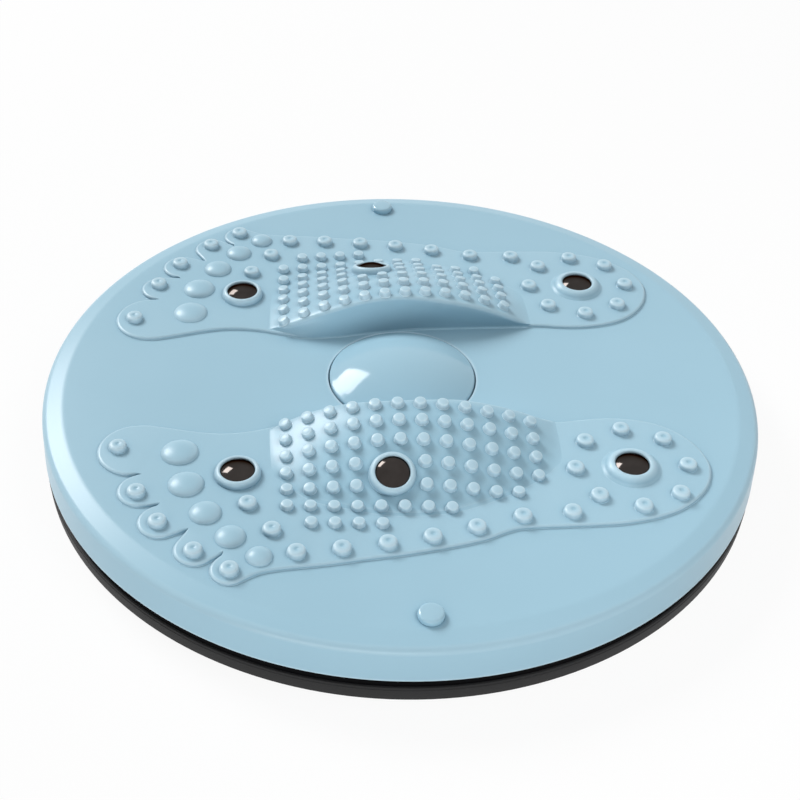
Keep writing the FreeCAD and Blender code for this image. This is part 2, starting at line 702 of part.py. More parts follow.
magnets = []
retainers = []
for name, share, collar_radius, lean in MAGNETS:
    for side, direction in SIDES:
        centre, upward = magnet_seat(share, lean)
        centre.y *= direction
        upward.y *= direction
        magnets.append(massage_magnet(f"{side}_{name}_magnet", centre, upward))
        disc = part("Prism", f"{side}_{name}_retainer", Circumradius="magnet_flange_radius",
                    Height="retainer_height")
        disc.Polygon = ROUND_SIDES
        foot = centre - upward * size(WALL_DEPTH + " + magnet_flange_height + retainer_height")
        retainers.append(stand(disc, foot, upward))
magnet_retainers = group("magnet_retainers", retainers)

# Centre cap: a shallow dome with a spigot that presses into the nut well

CAP_SEAT = "deck_height - cap_seat_depth"
SPIGOT_OUTER = "nut_well_radius - spigot_gap"
CAP_INNER = SPIGOT_OUTER + " - cap_wall"
CAP_BULGE = "(cap_rise - cap_edge_rise)"
CAP_SHARES = [(1, 0), (0.75, 0.46), (0.4, 0.85), (0, 1)]
CAP_INNER_SHARES = [(1, 0), (0.6, 0.66), (0, 1)]
centre_cap = new_body("centre_cap")
turned(centre_cap, [
    (f"cap_radius * {across}", f"deck_height + cap_edge_rise + {CAP_BULGE} * {up}")
    for across, up in CAP_SHARES
] + [
    (f"({CAP_INNER}) * {across}", f"deck_height + cap_edge_rise - cap_wall + {CAP_BULGE} * {up}")
    for across, up in reversed(CAP_INNER_SHARES)
] + [
    (CAP_INNER, CAP_SEAT + " - cap_spigot_length"),
    (SPIGOT_OUTER, CAP_SEAT + " - cap_spigot_length"),
    (SPIGOT_OUTER, CAP_SEAT),
    ("cap_radius", CAP_SEAT),
])

# Plugs of the rope holes: a domed button, a stem and a barb below the deck

for side, direction in (("back", 1), ("front", -1)):
    plug = new_body(f"{side}_hole_plug")
    head = "deck_height + plug_head_height"
    turned(plug, [
        ("0", DECK_UNDER + " - plug_barb_height"),
        ("plug_stem_radius", DECK_UNDER + " - plug_barb_height"),
        ("plug_barb_radius", DECK_UNDER + " - spigot_gap"),
        ("plug_stem_radius", DECK_UNDER + " - spigot_gap"),
        ("plug_stem_radius", "deck_height"),
        ("plug_radius", "deck_height"),
        ("plug_radius", head),
        ("plug_top_radius", head + " + plug_dome_height"),
        ("0", head + " + plug_dome_height"),
    ])
    plug.setExpression("Placement.Base.y", named(f"{direction} * {PLUG_PLACE}"))

# Ball race: two steel rings with a groove each, a cage with pockets, and the balls

GROOVE = "(ball_radius + groove_play)"


def race(name, land, face, groove_floor):
    """A steel ring from its land to its face, with screw holes and a groove that has 45 degree flanks."""
    ring = new_body(name)
    turned(ring, [
        (f"{RACE} - race_inner_width", land),
        (f"{RACE} + race_outer_width", land),
        (f"{RACE} + race_outer_width", face),
        (f"{RACE} + {GROOVE} / cos(45) - race_gap / 2", face),
        (f"{RACE} + {GROOVE} / cos(45) - {GROOVE}", groove_floor),
        (f"{RACE} - {GROOVE} / cos(45) + {GROOVE}", groove_floor),
        (f"{RACE} - {GROOVE} / cos(45) + race_gap / 2", face),
        (f"{RACE} - race_inner_width", face)])
    sketch = sketch_on(ring, "XY_Plane", name + "_hole")
    angle = 180 / size("screw_count")
    circle(sketch, "screw_radius + screw_play", f"({RACE} + race_screw_offset) * cos({angle})",
           f"({RACE} + race_screw_offset) * sin({angle})")
    hole = pocketed(ring, sketch, "deck_height", name + "_hole_cut")
    ring_of(ring, hole, "screw_count", name + "_hole_ring")
    return ring


lower_race = race("lower_race", LOWER_LAND, "ball_plane - race_gap / 2", f"ball_plane - {GROOVE}")
upper_race = race("upper_race", UPPER_LAND, "ball_plane + race_gap / 2", f"ball_plane + {GROOVE}")

ball_cage = new_body("ball_cage")
cage_sketch = sketch_on(ball_cage, "XY_Plane", "cage_plan", "ball_plane - cage_height / 2")
circle(cage_sketch, f"{RACE} - cage_inner_width")
circle(cage_sketch, f"{RACE} + cage_outer_width")
padded(ball_cage, cage_sketch, "cage_height", "cage_blank")
pocket_sketch = sketch_on(ball_cage, "XY_Plane", "pocket_plan", "ball_plane - cage_height / 2")
circle(pocket_sketch, "ball_radius + cage_play", RACE)
pocket = pocketed(ball_cage, pocket_sketch, "cage_height", "ball_pocket")
ring_of(ball_cage, pocket, "ball_count", "ball_pockets")

def ball_solid(radius):
    """A ball of eighty flat faces: an icosahedron with each face split in four."""
    golden = (1 + math.sqrt(5)) / 2
    corners = []
    for one, other in itertools.product((-1, 1), (-golden, golden)):
        corners += [FreeCAD.Vector(*point) for point in ((0, one, other), (one, other, 0), (other, 0, one))]
    faces = []
    for a, b, c in itertools.combinations(corners, 3):
        if max(a.distanceToPoint(b), b.distanceToPoint(c), c.distanceToPoint(a)) > golden + 1:
            continue
        ab, bc, ca = (a + b) / 2, (b + c) / 2, (c + a) / 2
        for three in ((a, ab, ca), (ab, b, bc), (ca, bc, c), (ab, bc, ca)):
            faces.append([FreeCAD.Vector(point).normalize() * radius for point in three])
    return flat_faced(faces)


balls = []
ball_form = ball_solid(size("ball_radius"))
for index in range(int(size("ball_count"))):
    ball = doc.addObject("Part::Feature", f"ball_{index + 1}")
    ball.Shape = ball_form
    place(ball, *polar(size(RACE), 2 * math.pi * index / size("ball_count")), size("ball_plane"))
    balls.append(ball)
bearing_balls = group("bearing_balls", balls)


def race_screws(name, face, upward):
    """Hexagon-head screws through a race ring: shank into the moulding, head on the ring."""
    screws = []
    for index in range(int(size("screw_count"))):
        shank = part("Cylinder", f"{name}_shank_{index + 1}", Radius="screw_radius", Height="screw_length")
        head = part("Prism", f"{name}_head_{index + 1}", Circumradius="screw_head_radius",
                    Height="screw_head_height")
        head.Polygon = HEX_SIDES
        turn = 0 if upward else 180
        x, y = polar(size(f"{RACE} + race_screw_offset"), 2 * math.pi * (index + 0.5) / size("screw_count"))
        raise_to(place(shank, x, y, 0, turn + 180), face)
        raise_to(place(head, x, y, 0, turn), face)
        screws.append(fuse(f"{name}_{index + 1}", [shank, head]))
    return group(name, screws)


lower_race_screws = race_screws("lower_race_screws", "ball_plane - race_gap / 2", True)
upper_race_screws = race_screws("upper_race_screws", "ball_plane + race_gap / 2", False)

# Base: one black moulding, turned as one profile, with ribs below and a hexagon recess for the bolt

BOLT_BORE = "bolt_radius + bolt_clearance"
HEAD_TOP = "ring_foot_height + bolt_head_height"
RIM_TOP = "skirt_edge_height - base_gap"
BASE_HUB_TOP = "upper_hub_bottom - sleeve_flange_height"
SEAT_INNER = f"{RIM} - base_seat_width"
base = new_body("base_form")
turned(base, [
    (BOLT_BORE, "ring_foot_height"),
    (BOLT_BORE, BASE_HUB_TOP),
    ("hub_radius", BASE_HUB_TOP),
    ("hub_radius", "base_web_top"),
    (LAND_INNER, "base_web_top"),
    (LAND_INNER, LOWER_LAND),
    (LAND_OUTER, LOWER_LAND),
    (LAND_OUTER, "base_web_top"),
    (DUST_LIP + " - dust_lip_wall", "base_web_top"),
    (DUST_LIP + " - dust_lip_wall", "base_web_top + dust_lip_height"),
    (DUST_LIP, "base_web_top + dust_lip_height"),
    (DUST_LIP, RIM_TOP),
    (RIM, RIM_TOP),
    (RIM, "ring_height"),
    (RING + " - ring_wall", "ring_height"),
    (RING + " - ring_wall", "ring_foot_height"),
    (SEAT_INNER, "ring_foot_height"),
    (SEAT_INNER, "base_web_top - base_web_height"),
    ("base_hub_foot_radius", "base_web_top - base_web_height"),
    ("base_hub_foot_radius", "ring_foot_height"),
])
rib(base, "base_rib", "base_hub_foot_radius - overrun", SEAT_INNER + " + overrun", "base_rib_width",
    "ring_foot_height + base_rib_lift", "base_web_top - base_web_height - ring_foot_height - base_rib_lift",
    "base_rib_count")
recess_sketch = sketch_on(base, "XY_Plane", "head_recess", "ring_foot_height")
HEX_RADIUS = "(bolt_head_flats / 2 + bolt_clearance) / cos(30)"
outline(recess_sketch, [(f"{HEX_RADIUS} * cos({60 * side})", f"{HEX_RADIUS} * sin({60 * side})")
                        for side in range(6)])
pocketed(base, recess_sketch, "bolt_head_height", "head_recess_cut")
base_holes = fuse("base_holes", pilot_holes("lower_pilot", LOWER_LAND + " - screw_length + race_thickness"))
base_plate = cut("base_plate", base, base_holes)

anti_slip_ring = new_body("anti_slip_ring")
turned(anti_slip_ring, [
    (RING + " - ring_foot_width", "0"),
    (RING, "0"),
    (RING, "ring_height"),
    (RING + " - ring_wall", "ring_height"),
    (RING + " - ring_wall", "ring_foot_height"),
    (RING + " - ring_foot_width", "ring_foot_height"),
])

# Pivot: hexagon bolt from below, flanged bush, washers and lock nut below the cap

GLIDE_TOP = WELL_FLOOR + " + glide_washer_height"
NUT_SEAT = GLIDE_TOP + " + steel_washer_height"
HEX_REACH = "bolt_head_flats / 2 / cos(30)"
bolt_head = part("Prism", "bolt_head", Circumradius=HEX_REACH, Height="bolt_head_height")
bolt_head.Polygon = HEX_SIDES
raise_to(bolt_head, "ring_foot_height")
bolt_shank = part("Cylinder", "bolt_shank", Radius="bolt_radius",
                  Height=WELL_FLOOR + " + bolt_stand_out - ring_foot_height")
raise_to(bolt_shank, "ring_foot_height")
pivot_bolt = fuse("pivot_bolt", [bolt_head, bolt_shank])

pivot_sleeve = new_body("pivot_sleeve")
turned(pivot_sleeve, [
    (BOLT_BORE, BASE_HUB_TOP),
    ("sleeve_flange_radius", BASE_HUB_TOP),
    ("sleeve_flange_radius", "upper_hub_bottom"),
    (BOLT_BORE + " + sleeve_wall", "upper_hub_bottom"),
    (BOLT_BORE + " + sleeve_wall", WELL_FLOOR),
    (BOLT_BORE, WELL_FLOOR),
])


def washer(name, bottom, height):
    body = new_body(name)
    sketch = sketch_on(body, "XY_Plane", name + "_plan", bottom)
    circle(sketch, "washer_radius")
    circle(sketch, BOLT_BORE)
    padded(body, sketch, height, name + "_pad")
    return body


glide_washer = washer("glide_washer", WELL_FLOOR, "glide_washer_height")
steel_washer = washer("steel_washer", GLIDE_TOP, "steel_washer_height")

nut_block = part("Prism", "nut_block", Circumradius=HEX_REACH, Height="nut_height")
nut_block.Polygon = HEX_SIDES
raise_to(nut_block, NUT_SEAT)
nut_thread = part("Cylinder", "nut_thread", Radius=BOLT_BORE, Height="nut_height + 2 * overrun")
raise_to(nut_thread, NUT_SEAT + " - overrun")
lock_nut = cut("lock_nut", nut_block, nut_thread)

# Check and write every piece

doc.recompute()
failed = [item.Name for item in doc.Objects if "Invalid" in item.State or "Error" in item.State]
if failed:
    raise RuntimeError("failed objects: " + ", ".join(failed))

PIECES = [
    base_plate, anti_slip_ring, lower_race, lower_race_screws, pivot_bolt, pivot_sleeve, glide_washer,
    steel_washer, lock_nut, ball_cage, bearing_balls, top_plate, centre_cap,
    doc.getObject("front_hole_plug"), doc.getObject("back_hole_plug"), *magnets, magnet_retainers,
    upper_race, upper_race_screws]

os.makedirs("parts", exist_ok=True)
for piece in PIECES:
    shape = piece.Shape
    if shape.isNull() or not shape.isValid():
        raise RuntimeError(piece.Label + " has no valid shape")
    shape.exportStep(f"parts/{piece.Label}.step")
    print(piece.Label, "solids", len(shape.Solids), "volume", round(shape.Volume / 1000, 2), "cm3")
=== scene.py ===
# %% [markdown]
# # A waist twisting disc
# The disc is a light-blue plate moulded in one piece, with two raised foot shapes, that turns on a black
# base. It could be modelled from nothing, but the frame already holds every piece at its real size and
# place, so it is loaded first. Most of the visible pieces then get a finished form, and all pieces get
# their skin.

# %% Load the frame
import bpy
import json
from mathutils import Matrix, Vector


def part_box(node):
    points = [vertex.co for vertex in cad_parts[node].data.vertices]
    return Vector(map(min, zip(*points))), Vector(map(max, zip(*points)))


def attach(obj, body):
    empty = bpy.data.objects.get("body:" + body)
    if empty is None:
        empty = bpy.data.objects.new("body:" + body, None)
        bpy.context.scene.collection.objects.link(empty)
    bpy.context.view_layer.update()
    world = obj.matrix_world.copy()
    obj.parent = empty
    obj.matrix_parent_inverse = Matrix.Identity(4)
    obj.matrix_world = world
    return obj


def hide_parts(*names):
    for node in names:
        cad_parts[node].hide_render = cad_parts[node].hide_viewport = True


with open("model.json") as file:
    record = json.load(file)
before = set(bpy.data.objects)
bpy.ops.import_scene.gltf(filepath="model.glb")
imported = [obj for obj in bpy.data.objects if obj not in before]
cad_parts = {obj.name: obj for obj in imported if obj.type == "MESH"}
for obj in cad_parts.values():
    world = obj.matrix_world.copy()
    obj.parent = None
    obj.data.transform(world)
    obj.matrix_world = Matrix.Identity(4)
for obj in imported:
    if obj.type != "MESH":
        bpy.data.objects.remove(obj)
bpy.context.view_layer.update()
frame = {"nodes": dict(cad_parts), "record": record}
print("frame holds", len(frame["nodes"]), "nodes")

# %% [markdown]
# The sizes of the disc are in millimetres, because a moulder draws in them. They could be typed in
# metres, as Blender counts. Instead `MM` turns them into metres at the moment that a mesh is made, so
# that no number has to be written with a row of zeros. Only the lamps and the table are given in metres.

# %% Tools of the bench
import json
import math

import bpy
import numpy as np
from mathutils import Matrix, Vector

MM = 0.001
FULL_TURN = 2 * math.pi


def low_mm(node):
    """Lowest corner of a node, in millimetres."""
    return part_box(node)[0] / MM


def high_mm(node):
    """Highest corner of a node, in millimetres."""
    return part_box(node)[1] / MM


print("top plate is", round(high_mm("top_plate").x - low_mm("top_plate").x, 1), "mm across")

# %% [markdown]
# Blender's operators act on everything that is selected, as they do in its window. The selection could be
# set anew in each step, but small helpers make it hard to forget. Every finished piece also needs a name,
# a skin and a place in the frame, and one more helper sees to that.

# %% Select and keep pieces
def nothing_selected():
    """Leaves edit mode and empties the selection."""
    if bpy.context.object and bpy.context.object.mode != "OBJECT":
        bpy.ops.object.mode_set(mode="OBJECT")
    bpy.ops.object.select_all(action="DESELECT")


def only(piece):
    """Selects one object and makes it active."""
    nothing_selected()
    piece.select_set(True)
    bpy.context.view_layer.objects.active = piece


def keep(piece, name, slot_name, material, body, *nodes):
    """Names a finished piece, gives it its skin and lets it ride and stand for nodes."""
    piece.name = name
    piece.data.name = name
    piece.data.materials.clear()
    piece.data.materials.append(material)
    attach(piece, body)
    if nodes:
        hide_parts(*nodes)
    print(name, "has", len(piece.data.polygons), "faces")


print("the frame leaves", len(bpy.context.selected_objects), "objects selected")

# %% [markdown]
# ## Camera
# The camera comes first, because everything is compared through it. The disc is photographed from a
# little left of its middle and about 39 degrees above the table with a short telephoto lens. A camera
# could be moved by hand until the rim fits. Here its place and line of sight are vectors, worked out from
# the ellipses of the rim and from pairs of nubs. A small roll about that line is added, because the disc
# stands slightly slanted in the picture.

# %% Camera
CAMERA_PLACE = Vector((-45.54, -454.59, 385.5)) * MM
CAMERA_AIM = Vector((0.07645, 0.77212, -0.63086))
CAMERA_ROLL = math.radians(-2.266)
LENS = 61.67
SENSOR_WIDTH = 36

bpy.ops.object.camera_add(location=CAMERA_PLACE)
camera = bpy.context.object
camera.rotation_mode = "QUATERNION"
camera.rotation_quaternion = (
    Matrix.Rotation(CAMERA_ROLL, 3, CAMERA_AIM).to_quaternion() @ CAMERA_AIM.to_track_quat("-Z", "Y"))
camera.data.lens = LENS
camera.data.sensor_width = SENSOR_WIDTH
bpy.context.scene.camera = camera
print("camera stands", round(CAMERA_PLACE.length, 3), "m from the disc's foot")

# %% [markdown]
# ## Light
# One soft lamp stands behind the disc on the left: it draws the white window on the cap and the bright
# left shoulders, and lets every nub throw a soft shadow to the right. A small lamp high on the right
# lightens that side of the deck and shows in no reflection. A wide, low strip at the front lights the
# skirt. A picture of a studio could light all of it at once, but single lamps can be moved until each
# highlight sits right.

# %% Lamps
def soft_lamp(name, direction, distance, width, height, power):
    """A rectangular area lamp that looks at the middle of the disc."""
    toward = Vector(direction).normalized()
    bpy.ops.object.light_add(type="AREA", location=toward * distance)
    lamp = bpy.context.object
    lamp.name = name
    lamp.data.shape = "RECTANGLE"
    lamp.data.size = width
    lamp.data.size_y = height
    lamp.data.energy = power
    lamp.rotation_mode = "QUATERNION"
    lamp.rotation_quaternion = (-toward).to_track_quat("-Z", "Y")
    return lamp


soft_lamp("key_lamp", direction=(-0.5, 0.62, 0.62), distance=2.6, width=0.95, height=0.95, power=58)
high_lamp = soft_lamp("high_lamp", direction=(0.42, -0.35, 0.85), distance=0.62,
                      width=0.35, height=0.35, power=1.5)
high_lamp.visible_glossy = False
soft_lamp("front_lamp", direction=(-0.35, -1.0, 0.06), distance=1.2, width=1.0, height=0.12, power=6)

# %% [markdown]
# The studio round the disc is pure white to look at. As a light it has to be dim, or it would wash out
# the shadows that shape the nubs. A grey backdrop would be dim too, but would look grey. So a Light Path
# node tells the two uses apart: what the camera, clear material and glossy reflections see is white, and
# what lights the disc is dim.

# %% World
WHITE = (1, 1, 1, 1)
WORLD_LIGHT = 0.15
WORLD_TINT = (0.93, 0.97, 1, 1)


def seen_ray(make, join):
    """A value that is 1 for rays from the camera, through clear material and off gloss, and 0 for light."""
    path = make("ShaderNodeLightPath")
    seen = path.outputs["Is Camera Ray"]
    for kind in ("Is Transmission Ray", "Is Glossy Ray"):
        either = make("ShaderNodeMath")
        either.operation = "MAXIMUM"
        join(seen, either.inputs[0])
        join(path.outputs[kind], either.inputs[1])
        seen = either.outputs[0]
    return seen


scene = bpy.context.scene
scene.world = bpy.data.worlds.new("pale_studio")
scene.world.use_nodes = True
tree = scene.world.node_tree
tree.nodes.clear()
make, join = tree.nodes.new, tree.links.new
out, mix = make("ShaderNodeOutputWorld"), make("ShaderNodeMixShader")
looks, lighting = make("ShaderNodeBackground"), make("ShaderNodeBackground")
looks.inputs["Color"].default_value = WHITE
looks.inputs["Strength"].default_value = 1
lighting.inputs["Color"].default_value = WORLD_TINT
lighting.inputs["Strength"].default_value = WORLD_LIGHT
join(seen_ray(make, join), mix.inputs["Fac"])
join(lighting.outputs[0], mix.inputs[1])
join(looks.outputs[0], mix.inputs[2])
join(mix.outputs[0], out.inputs["Surface"])
scene.view_settings.view_transform = "Standard"
print("world", scene.world.name, "lights with strength", WORLD_LIGHT)

# %% [markdown]
# ## Skins
# Injection-moulded plastic is never perfectly even: the gloss swims a little where the melt cooled
# unevenly, and light falls on a very shallow waviness. A painted image could show this, but noise needs
# no picture and no unwrapping. One shared node group makes it and is placed in each material with its own
# values. It puts out a tone, for the colour and the roughness, and a height for the bump.

# %% Shared effect: moulded surface
WAVE_DETAIL = 2
GRAIN_DETAIL = 4


def moulded_group():
    """Shallow waviness, fine grain and a slow change of tone, all read from Object coordinates."""
    group = bpy.data.node_groups.new("moulded_surface", "ShaderNodeTree")
    for name in ("Wave Scale", "Grain Scale", "Grain Share"):
        group.interface.new_socket(name, in_out="INPUT", socket_type="NodeSocketFloat")
    for name in ("Tone", "Height"):
        group.interface.new_socket(name, in_out="OUTPUT", socket_type="NodeSocketFloat")
    make, join = group.nodes.new, group.links.new
    entry, leave = make("NodeGroupInput"), make("NodeGroupOutput")
    place = make("ShaderNodeTexCoord")
    wave, grain = make("ShaderNodeTexNoise"), make("ShaderNodeTexNoise")
    wave.inputs["Detail"].default_value = WAVE_DETAIL
    grain.inputs["Detail"].default_value = GRAIN_DETAIL
    blend = make("ShaderNodeMix")
    join(place.outputs["Object"], wave.inputs["Vector"])
    join(place.outputs["Object"], grain.inputs["Vector"])
    join(entry.outputs["Wave Scale"], wave.inputs["Scale"])
    join(entry.outputs["Grain Scale"], grain.inputs["Scale"])
    join(entry.outputs["Grain Share"], blend.inputs["Factor"])
    join(wave.outputs["Fac"], blend.inputs["A"])
    join(grain.outputs["Fac"], blend.inputs["B"])
    join(wave.outputs["Fac"], leave.inputs["Tone"])
    join(blend.outputs["Result"], leave.inputs["Height"])
    return group


moulded = moulded_group()
print("shared group", moulded.name, "made")

# %% [markdown]
# The blue shell of the real disc looks darker in its narrow corners, where less light reaches, and lighter
# on its rounded edges, which catch the light. That shade and light are painted into the colour. They could
# be painted on the mesh, but two nodes find the places wherever the form has them: Ambient Occlusion finds
# the shaded corners, and Pointiness finds the lit edges. Pointiness also rises where a form simply ends on
# the flat of the foot shape, so the painted edge light is left out just above that level.

# %% Painted shade in corners and painted highlight on edges
PAINTED_SHADE_REACH = 11 * MM
PAINTED_SHADE_SAMPLES = 8
PAINTED_SHADE_TINT = (0.14, 0.25, 0.32)
PAINTED_LIGHT_BEND = (0.505, 0.57)
PAINTED_LIGHT_SHARE = 0.9
PAINTED_LIGHT_TINT = (0.62, 0.78, 0.86)
FLAT_LEVEL = 28.45 * MM
FLAT_MARGIN = 0.14 * MM


def paint_corner_shade_and_edge_light(make, join, colour, painted_shade_strength):
    """Paints shade into a colour in narrow corners and a highlight on rounded edges, but not at the flat's
    level.
    """
    # Ambient Occlusion paints shade into the colour in narrow corners.
    openness, shut = make("ShaderNodeAmbientOcclusion"), make("ShaderNodeMath")
    painted_shade_mix = make("ShaderNodeMix")
    openness.inputs["Distance"].default_value = PAINTED_SHADE_REACH
    openness.samples = PAINTED_SHADE_SAMPLES
    shut.operation = "MULTIPLY_ADD"
    shut.inputs[1].default_value, shut.inputs[2].default_value = -painted_shade_strength, painted_shade_strength
    painted_shade_mix.data_type, painted_shade_mix.blend_type = "RGBA", "MULTIPLY"
    painted_shade_mix.inputs["B"].default_value = (*PAINTED_SHADE_TINT, 1)
    join(openness.outputs["AO"], shut.inputs[0])
    join(shut.outputs[0], painted_shade_mix.inputs["Factor"])
    join(colour, painted_shade_mix.inputs["A"])
    # Pointiness paints a highlight into the colour on rounded edges.
    bend, edge, painted_light_mix = make("ShaderNodeNewGeometry"), make("ShaderNodeMapRange"), make("ShaderNodeMix")
    edge.inputs["From Min"].default_value, edge.inputs["From Max"].default_value = PAINTED_LIGHT_BEND
    edge.inputs["To Max"].default_value = PAINTED_LIGHT_SHARE
    join(bend.outputs["Pointiness"], edge.inputs["Value"])
    place, split = make("ShaderNodeTexCoord"), make("ShaderNodeSeparateXYZ")
    level, raised, counted = make("ShaderNodeMath"), make("ShaderNodeMath"), make("ShaderNodeMath")
    level.operation, raised.operation, counted.operation = "COMPARE", "SUBTRACT", "MULTIPLY"
    level.inputs[1].default_value, level.inputs[2].default_value = FLAT_LEVEL, FLAT_MARGIN
    raised.inputs[0].default_value = 1
    join(place.outputs["Object"], split.inputs["Vector"])
    join(split.outputs["Z"], level.inputs[0])
    join(level.outputs[0], raised.inputs[1])
    join(edge.outputs["Result"], counted.inputs[0])
    join(raised.outputs[0], counted.inputs[1])
    painted_light_mix.data_type = "RGBA"
    painted_light_mix.inputs["B"].default_value = (*PAINTED_LIGHT_TINT, 1)
    join(counted.outputs[0], painted_light_mix.inputs["Factor"])
    join(painted_shade_mix.outputs["Result"], painted_light_mix.inputs["A"])
    return painted_light_mix.outputs["Result"]


print("corners deepen within", PAINTED_SHADE_REACH / MM, "mm")

# %% [markdown]
# The ten skins are built alike, and only the blue shell also has painted shade in its corners and a painted
# highlight on its edges. Each could be put together by hand, but one function makes them all from their
# values. What is the same all over is set on the Principled shader's own sockets. The tone mixes two near
# shades into the base colour and sets the roughness between two limits, and the height feeds a weak bump.

# %% A moulded skin
BUMP_DEPTH = 0.1 * MM


def moulded_skin(name, dark, light, rough, bump, wave_scale=18, grain_scale=900, grain_share=0.3,
                 painted_shade_strength=0.0, **sockets):
    """A material from two near shades, two roughness limits and a bump, with painted corner shade and edge
    light if asked.
    """
    skin = bpy.data.materials.new(name)
    skin.use_nodes = True
    make, join = skin.node_tree.nodes.new, skin.node_tree.links.new
    shader = skin.node_tree.nodes["Principled BSDF"]
    for socket, value in sockets.items():
        shader.inputs[socket.replace("_", " ").title().replace("Ior", "IOR")].default_value = value
    effect = make("ShaderNodeGroup")
    effect.node_tree = moulded
    effect.inputs["Wave Scale"].default_value = wave_scale
    effect.inputs["Grain Scale"].default_value = grain_scale
    effect.inputs["Grain Share"].default_value = grain_share
    shade = make("ShaderNodeMix")
    shade.data_type = "RGBA"
    shade.inputs["A"].default_value = (*dark, 1)
    shade.inputs["B"].default_value = (*light, 1)
    gloss = make("ShaderNodeMapRange")
    gloss.inputs["To Min"].default_value, gloss.inputs["To Max"].default_value = rough
    relief = make("ShaderNodeBump")
    relief.inputs["Strength"].default_value = bump
    relief.inputs["Distance"].default_value = BUMP_DEPTH
    join(effect.outputs["Tone"], shade.inputs["Factor"])
    colour = shade.outputs["Result"]
    # Painted shade and painted light are added to the colour here.
    if painted_shade_strength:
        colour = paint_corner_shade_and_edge_light(make, join, colour, painted_shade_strength)
    join(colour, shader.inputs["Base Color"])
    join(effect.outputs["Tone"], gloss.inputs["Value"])
    join(gloss.outputs["Result"], shader.inputs["Roughness"])
    join(effect.outputs["Height"], relief.inputs["Height"])
    join(relief.outputs["Normal"], shader.inputs["Normal"])
    return skin


print("skins are made with a bump of", BUMP_DEPTH / MM, "mm")

# %% [markdown]
# The plate, cap and plugs are one light blue: the plate satin, the cap and plugs glossier. The base is
# black, its ring a little greyer and duller. The magnets are chrome, but their base colour is made nearly
# black. This is a painted reflection of the dark surroundings that the real chrome mirrors, and the
# blotches of its tone are painted patches in that reflection. Steel, zinc and nylon are out of sight,
# inside or underneath.
# Colours could be picked from the photo, but there they are mixed with its light. So the visible ones
# were set by comparing renders with it.

# %% All skins
BLUE_DARK = (0.345, 0.55, 0.665)
BLUE_LIGHT = (0.375, 0.585, 0.7)
# The blue shell alone gets painted shade in its corners and a painted highlight on its edges.
blue_shell = moulded_skin(
    "blue_shell", BLUE_DARK, BLUE_LIGHT, (0.26, 0.34), 0.25, painted_shade_strength=0.9, ior=1.46, specular_ior_level=0.27)
blue_cap = moulded_skin(
    "blue_cap", BLUE_DARK, BLUE_LIGHT, (0.09, 0.13), 0.05, ior=1.46, specular_ior_level=0.2,
    coat_weight=0.05, coat_roughness=0.05)
blue_plug = moulded_skin("blue_plug", BLUE_DARK, BLUE_LIGHT, (0.12, 0.18), 0.15, ior=1.46)
black_plastic = moulded_skin(
    "black_plastic", (0.0025, 0.0025, 0.003), (0.004, 0.004, 0.0045), (0.4, 0.5), 0.5,
    grain_scale=2600, grain_share=0.7, specular_ior_level=0.02)
soft_grip = moulded_skin(
    "soft_grip", (0.014, 0.014, 0.0145), (0.022, 0.022, 0.0225), (0.5, 0.62), 0.8,
    grain_scale=1800, grain_share=0.8, specular_ior_level=0.2)
race_steel = moulded_skin(
    "race_steel", (0.5, 0.5, 0.51), (0.6, 0.6, 0.61), (0.25, 0.4), 0.3, metallic=1.0)
zinc_steel = moulded_skin(
    "zinc_steel", (0.55, 0.55, 0.52), (0.66, 0.66, 0.65), (0.3, 0.45), 0.3, metallic=1.0)
white_nylon = moulded_skin("white_nylon", (0.7, 0.7, 0.67), (0.78, 0.78, 0.75), (0.4, 0.5), 0.3)
ball_steel = moulded_skin(
    "ball_steel", (0.68, 0.68, 0.69), (0.72, 0.72, 0.73), (0.05, 0.08), 0.02, metallic=1.0)
# The magnet skin's near-black colour is a painted dark reflection, and its blotches are painted patches in
# that reflection.
magnet_chrome = moulded_skin(
    "magnet_chrome", (0.028, 0.025, 0.023), (0.058, 0.051, 0.048), (0.08, 0.12), 0.02,
    wave_scale=160, metallic=1.0, specular_tint=(0.35, 0.33, 0.32, 1))
SKINS = dict(
    blue_shell=blue_shell, blue_cap=blue_cap, blue_plug=blue_plug, black_plastic=black_plastic,
    soft_grip=soft_grip, race_steel=race_steel, zinc_steel=zinc_steel, white_nylon=white_nylon,
    ball_steel=ball_steel, magnet_chrome=magnet_chrome)
print("skins:", sorted(SKINS))

# %% [markdown]
# Each node of the frame names its material slot in the part's record. The nodes could be dressed one by
# one, but a loop over the record leaves none out. Those that get a finished form further down are
# replaced. The others keep their plain solid, such as the base, which shows only as a black band.

# %% Dress the nodes that stay as they are
for entry in frame["record"]["subparts"]:
    node = frame["nodes"][entry["node"]]
    node.data.materials.clear()
    node.data.materials.append(SKINS[entry["material_slot"]])

# %% [markdown]
# ## Turned shells
# The plate, the cap and the soft ring are all round, so each is one profile spun about the axis. A Screw
# modifier could turn it, but spinning in edit mode gives a plain mesh at once, which other forms can
# join. A single vertex is extruded from corner to corner of the profile, and the line is then spun once
# round. Rounded corners are drawn as short arcs, because they are what catches the light on moulded
# plastic.

# %% Draw and spin a profile
ROUND_STEPS = 192
WELD_GAP = 0.001 * MM
SHARP_ANGLE = math.radians(42)


def corner_arc(centre, radius, start, end, steps):
    """Points of an arc in the profile plane; angles in degrees from the outward direction."""
    angles = [math.radians(start + (end - start) * step / steps) for step in range(steps + 1)]
    return [(centre[0] + radius * math.cos(angle), centre[1] + radius * math.sin(angle))
            for angle in angles]


